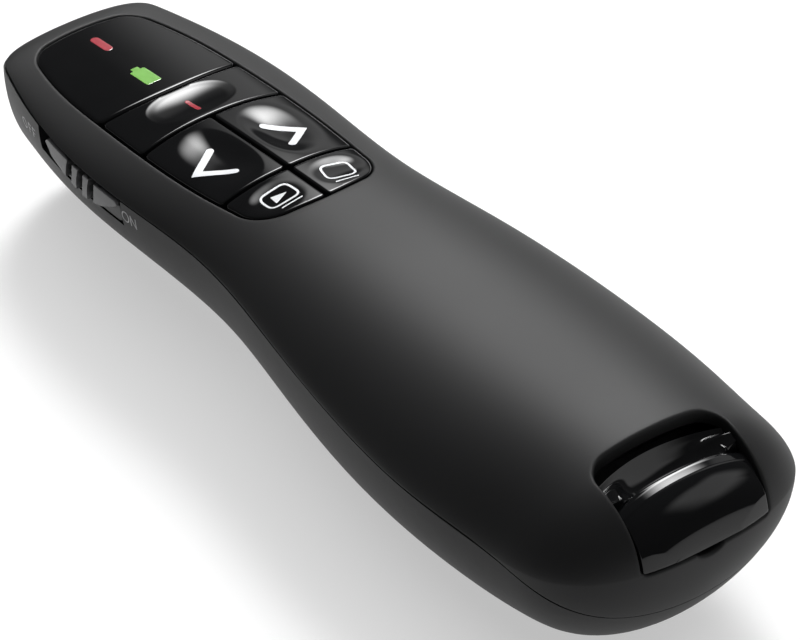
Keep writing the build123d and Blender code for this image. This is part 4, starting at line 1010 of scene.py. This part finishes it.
def cap_line():
    """The cap's side profile from its front to its back: y and z, against the length run along it."""
    middle, low, long, tall, power = CAP_BACK
    turn = np.linspace(BACK_START, 1, 60)[1:]
    turn[-1] = BACK_STOP
    back = np.stack([middle - long * turn, low + tall * (1 - turn**power) ** (1 / power)], -1)
    line = np.concatenate([rounded_run(CAP_FRONT, CAP_ROUNDS), back])
    arc = np.concatenate([[0], np.cumsum(np.hypot(*np.diff(line, axis=0).T))])
    s = np.linspace(0, arc[-1], 260)
    return s, np.interp(s, arc, line[:, 0]), np.interp(s, arc, line[:, 1])


def cap_mesh():
    """The cap's skin: its side profile (slope, pocket floor, crest, back) carried across x. Outside the
    pocket's half width the profile gives way to the ears' flat, and behind the crest it bends across as the
    shell's crown does."""
    s, line_y, line_z = cap_line()

    def surface(x, at):
        y, z = np.interp(at, s, line_y), np.interp(at, s, line_z)
        u, beyond = np.abs(x) / NOTCH_HALF, np.abs(x) - NOTCH_HALF
        arch = smooth((y - CREST) / ARCH_EASE)
        y = y - ARCH * u**2 * arch + CREST_BOW * (1 - u**2) * (1 - arch) * smooth((y - BOW_START) / BOW_EASE)
        side = SPOON * u**2 + SPOON_SIDE * smooth((u - SPOON_EDGE) / SPOON_EASE)
        spoon = z + side * smooth(SPOON_TOP - z)
        flat = np.maximum(EAR_TOP - EAR_FALL * beyond, spoon)
        pocket = spoon + (flat - spoon) * smooth((beyond - EAR_START) / EAR_EASE)
        behind = np.maximum(y, BEND_END)
        fall = crown(x, behind) - crown(np.zeros_like(x), behind)
        z = pocket + (z + fall - pocket) * smooth((CREST + BEND_AHEAD - y) / BEND_EASE)
        return np.stack([x, y, np.minimum(z, crown(x, np.maximum(y, CROWN_END)) - CAP_SINK)], -1)

    def keep(p):
        front = CAP_EDGE - ARCH * (p[..., 0] / NOTCH_HALF) ** 2 - p[..., 1]
        return meet(CAP_HALF - np.abs(p[..., 0]), meet(front, p[..., 2] - CAP_LOW, CAP_FOOT), CAP_SIDE)

    stretches = zip(CAP_PLACES, CAP_PLACES[1:], CAP_COUNTS)
    x = np.concatenate([np.linspace(a, b, n, endpoint=b > CAP_HALF) for a, b, n in stretches])
    return skin_mesh(surface, (x, s), keep, CAP_LIP, CAP_WALL, rounds=3)


def grip_field(y, z):
    """Inside the boat-shaped grip, between its lower line and just above the knob."""
    return np.minimum(z - np.interp(y, *np.array(GRIP_LOW).T), KNOB[3] + GRIP_OVER - z)


def knob_rise(y, z):
    """How far the knob's face stands out from the shell: a sunk base, a boat-shaped grip leaning out towards
    its lower edge, and grooves a little wider at mid height."""
    grip = GRIP_PROUD + GRIP_LEAN * (KNOB[3] - z)
    rise = GRIP_BASE + (grip - GRIP_BASE) * smooth(grip_field(y, z) / GRIP_EASE)
    half = GROOVE_HALF + GROOVE_SWELL * (1 - ((z - GROOVE_MIDDLE) / GROOVE_TALL) ** 2)
    for spot in GROOVES:
        rise = rise - GROOVE_DEPTH * smooth((half - np.abs(y - spot)) / GROOVE_EASE + 0.5)
    return rise


def mark_grip(obj):
    """Stores on each corner of the knob's mesh how far it belongs to the grip (1) or to the base and the
    grooves (0). The grip's share gets the lighter colour painted as its sheen, while the sunk base and
    grooves keep the dark one."""
    place = np.empty(len(obj.data.vertices) * 3)
    obj.data.vertices.foreach_get("co", place)
    x, y, z = place.reshape(-1, 3).T / MM
    inside, out = smooth(grip_field(y, z) / GRIP_FADE), smooth((GRIP_FADE - x - flank(y, z)) / GRIP_FADE)
    obj.data.attributes.new("grip", "FLOAT", "POINT").data.foreach_set("value", inside * out)


def beside(rise):
    """The surface that stands rise(y, z) out from the left flank."""
    return lambda y, z: np.stack([-flank(y, z) - rise(y, z), y, z], -1)


def knob_skin(rise, bounds, depth, step):
    """A skin over the left flank, standing `rise` out from it inside a rounded rectangle in y and z."""
    keep = seen_from(BESIDE, partial(box_field, bounds=bounds, r=KNOB_CORNER))
    return skin_mesh(beside(rise), lines(bounds, step, 1, 2), keep, KNOB_LIP, depth, rounds=3)


class BuildSwitch(bpy.types.Operator):
    """The sliding power switch on the side, and the words printed by it"""

    bl_idname = "clicker.switch"
    bl_label = "Power switch"

    def execute(self, context):
        keys = context.scene.clicker_keys
        # the grip's lighter colour is a painted sheen; the sunk base and grooves take the shell's dark colour
        satin = knob_finish("knob_satin", keys.knob, context.scene.clicker_look.shell)
        face = knob_skin(knob_rise, KNOB, 1.0, 0.06)
        flange = knob_skin(lambda y, z: FLANGE_SUNK, KNOB_FLANGE, 0.6, 0.3)
        knob = make_object("power_knob_face", joined(face, flange), satin)
        mark_grip(knob)
        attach(knob, "power_slide")
        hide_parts("power_knob")
        words = ink("grey_print", keys.print_grey)
        for name, (spelt, bounds) in WORDS.items():
            runs = [[(y + a, z + b) for a, b in run] for letter, y, z in spelt for run in LETTERS[letter]]
            keep = seen_from(BESIDE, partial(strokes, runs=runs, half=WORD_HALF))
            grid, rise = lines(bounds, WORD_STEP), lambda y, z: WORD_RISE
            skin = skin_mesh(beside(rise), grid, keep, WORD_LIP, WORD_DEEP, rounds=2)
            obj = make_object(name, skin, words)
            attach(obj, "housing")
        return {"FINISHED"}


class DressNodes(bpy.types.Operator):
    """Finishes for every piece that keeps its shape from the construction"""

    bl_idname = "clicker.nodes"
    bl_label = "Inner pieces"

    def execute(self, context):
        look, keys = context.scene.clicker_look, context.scene.clicker_keys
        by_slot = {
            "soft_touch_shell": bpy.data.materials.get("soft_touch") or soft_touch("soft_touch", look.shell),
            "gloss_black": gloss("gloss_black", keys.polish, 0.04),
            "solder_mask": board_finish("solder_mask"),
            "screw_steel": metal("bright_steel", (0.62, 0.63, 0.65), 0.22),
            "cell_jacket": jacket_finish("cell_jacket"),
        }
        for maker, slots in SLOTS.items():
            by_slot.update({name: maker(name, *values) for name, values in slots.items()})
        wanted = {part["node"]: part["material_slot"] for part in frame["record"]["subparts"]}
        for name, obj in frame["nodes"].items():
            if wanted.get(name) not in by_slot:
                raise RuntimeError("no finish for " + name + " " + str(wanted.get(name)))
            for s in obj.material_slots:
                s.material = by_slot[wanted[name]]
        return {"FINISHED"}


# softboxes: azimuth from the nose towards +x, elevation, distance, width and height in degrees, fading part
LAMPS = {
    "strip": (43, 47, 0.8, (28, 46), 0.95),
    "glow": (50, 25, 0.9, (42, 34), 0.4),
    "side": (125, 40, 1.0, (50, 40), 0.6),
    "overhead": (0, 90, 1.0, (70, 70), 0.2),
}
LAMP_TARGET = (0, 0, 0.02)
# the rays that see the floor's own glow
SEEN_BY = ("Is Camera Ray", "Is Glossy Ray", "Is Transmission Ray")
# the floor's half size, lines each way and height; the camera's turns in degrees, distance and target
FLOOR_HALF, FLOOR_LINES, FLOOR_HEIGHT = 3, 5, -0.00002
CAMERA_TURN, CAMERA_FAR, CAMERA_TARGET = (-37.60, 37.84, 0.14), 0.65687, (0.0, -0.00521, 0.01562)


def lamp(name, radiance, azimuth, elevation, distance, spread, fade):
    """A rectangular softbox seen from the object at this azimuth and elevation, `spread` degrees wide and
    high, of this radiance in its middle, fading over the outer part `fade` of each half."""
    data = bpy.data.lights.new(name, "AREA")
    data.shape = "RECTANGLE"
    data.size, data.size_y = (2 * distance * math.tan(math.radians(a) / 2) for a in spread)
    data.energy = radiance * math.pi * data.size * data.size_y
    data.use_nodes = True
    wiring = Wiring(data.node_tree)
    spot = wiring.node("ShaderNodeNewGeometry", out="Parametric")
    eases = []
    for side in (0, 1):
        along = wiring.node("ShaderNodeSeparateXYZ", {}, {0: spot}, out=side)
        off = wiring.node("ShaderNodeMath", {"operation": "PINGPONG"}, {0: along, 1: 0.5})
        inputs = {"Value": off, "From Max": max(fade / 2, 1e-3)}
        eases.append(wiring.node("ShaderNodeMapRange", {"interpolation_type": "SMOOTHSTEP"}, inputs))
    wiring.feed(wiring.tree.nodes["Emission"].inputs["Strength"], eases[0] * eases[1])
    obj = bpy.data.objects.new(name, data)
    a, e = math.radians(azimuth), math.radians(elevation)
    back = Vector((math.sin(a) * math.cos(e), math.cos(a) * math.cos(e), math.sin(e)))
    place = Matrix.Translation(Vector(LAMP_TARGET) + distance * back)
    obj.matrix_world = place @ back.to_track_quat("Z", "Y").to_matrix().to_4x4()
    obj.visible_camera = False
    obj.visible_glossy = name != "overhead"
    bpy.context.scene.collection.objects.link(obj)


class SetStage(bpy.types.Operator):
    """A pale floor, soft lamps and the camera"""

    bl_idname = "clicker.stage"
    bl_label = "Stage"

    def execute(self, context):
        scene, stage = context.scene, context.scene.clicker_stage
        scene.view_settings.view_transform = "Standard"
        mesh = bpy.data.meshes.new("floor")
        u = np.linspace(-FLOOR_HALF, FLOOR_HALF, FLOOR_LINES)
        X, Y = np.meshgrid(u, u, indexing="ij")
        index = np.arange(X.size).reshape(X.shape)
        faces = np.stack([index[:-1, :-1], index[1:, :-1], index[1:, 1:], index[:-1, 1:]], -1).reshape(-1, 4)
        corners = np.stack([X.ravel(), Y.ravel(), np.full(X.size, FLOOR_HEIGHT)], -1)
        mesh.from_pydata(corners.tolist(), [], faces.tolist())
        f = Finish("floor", Roughness=0.9, Specular_IOR_Level=0.1)
        cloud = f.grain(0.4, 1.0)
        f.set("Base Color", f.between(cloud, shade(stage.floor, 0.995), shade(stage.floor)))
        f.set("Emission Color", f.between(cloud, (0.99, 0.99, 0.99), (1.0, 1.0, 1.0)))
        rays = [f.node("ShaderNodeLightPath", out=ray) for ray in SEEN_BY]
        f.set("Emission Strength", (rays[0] + rays[1] + rays[2]) * stage.floor_glow)
        mesh.materials.append(f.material)
        floor = bpy.data.objects.new("floor", mesh)
        scene.collection.objects.link(floor)
        scene.world = bpy.data.worlds.new("studio")
        scene.world.use_nodes = True
        background = scene.world.node_tree.nodes["Background"]
        background.inputs[0].default_value = (1, 1, 1, 1)
        background.inputs[1].default_value = stage.surround
        for name, values in LAMPS.items():
            lamp(name, getattr(stage, name), *values)
        camera = bpy.data.cameras.new("camera")
        camera.sensor_width = 36.0
        camera.lens = stage.lens
        camera.clip_start, camera.clip_end = 0.01, 20.0
        obj = bpy.data.objects.new("camera", camera)
        az, el, roll = (math.radians(a) for a in CAMERA_TURN)
        forward = Vector((-math.sin(az) * math.cos(el), math.cos(az) * math.cos(el), -math.sin(el)))
        right = Vector((math.cos(az), math.sin(az), 0.0))
        up = right.cross(forward)
        r = math.cos(roll) * right + math.sin(roll) * up
        w = -math.sin(roll) * right + math.cos(roll) * up
        turn = Matrix((r, w, -forward)).transposed()
        obj.matrix_world = Matrix.Translation(Vector(CAMERA_TARGET) - CAMERA_FAR * forward) @ turn.to_4x4()
        scene.collection.objects.link(obj)
        scene.camera = obj
        return {"FINISHED"}


class ClickerPanel(bpy.types.Panel):
    bl_label = "Presentation clicker"
    bl_idname = "VIEW3D_PT_clicker"
    bl_space_type = "VIEW_3D"
    bl_region_type = "UI"
    bl_category = "Clicker"

    def draw(self, context):
        for group_name in GROUPS:
            group = getattr(context.scene, group_name)
            for prop in group.bl_rna.properties:
                if prop.identifier not in ("rna_type", "name"):
                    self.layout.prop(group, prop.identifier)
        for operator in OPERATORS:
            self.layout.operator(operator.bl_idname)


OPERATORS = (BuildShells, BuildWindow, BuildKeys, BuildSwitch, BuildCap, DressNodes, SetStage)
GROUPS = {"clicker_look": ClickerLook, "clicker_keys": ClickerKeys, "clicker_stage": ClickerStage}
CLASSES = (*GROUPS.values(), *OPERATORS, ClickerPanel)


def register():
    for cls in CLASSES:
        bpy.utils.register_class(cls)
    for name, group in GROUPS.items():
        setattr(bpy.types.Scene, name, PointerProperty(type=group))


def unregister():
    for name in GROUPS:
        delattr(bpy.types.Scene, name)
    for cls in reversed(CLASSES):
        bpy.utils.unregister_class(cls)


def main():
    register()
    bpy.ops.clicker.shells()
    bpy.ops.clicker.window()
    bpy.ops.clicker.keys()
    bpy.ops.clicker.switch()
    bpy.ops.clicker.cap()
    bpy.ops.clicker.nodes()
    bpy.ops.clicker.stage()


if __name__ == "__main__":
    main()
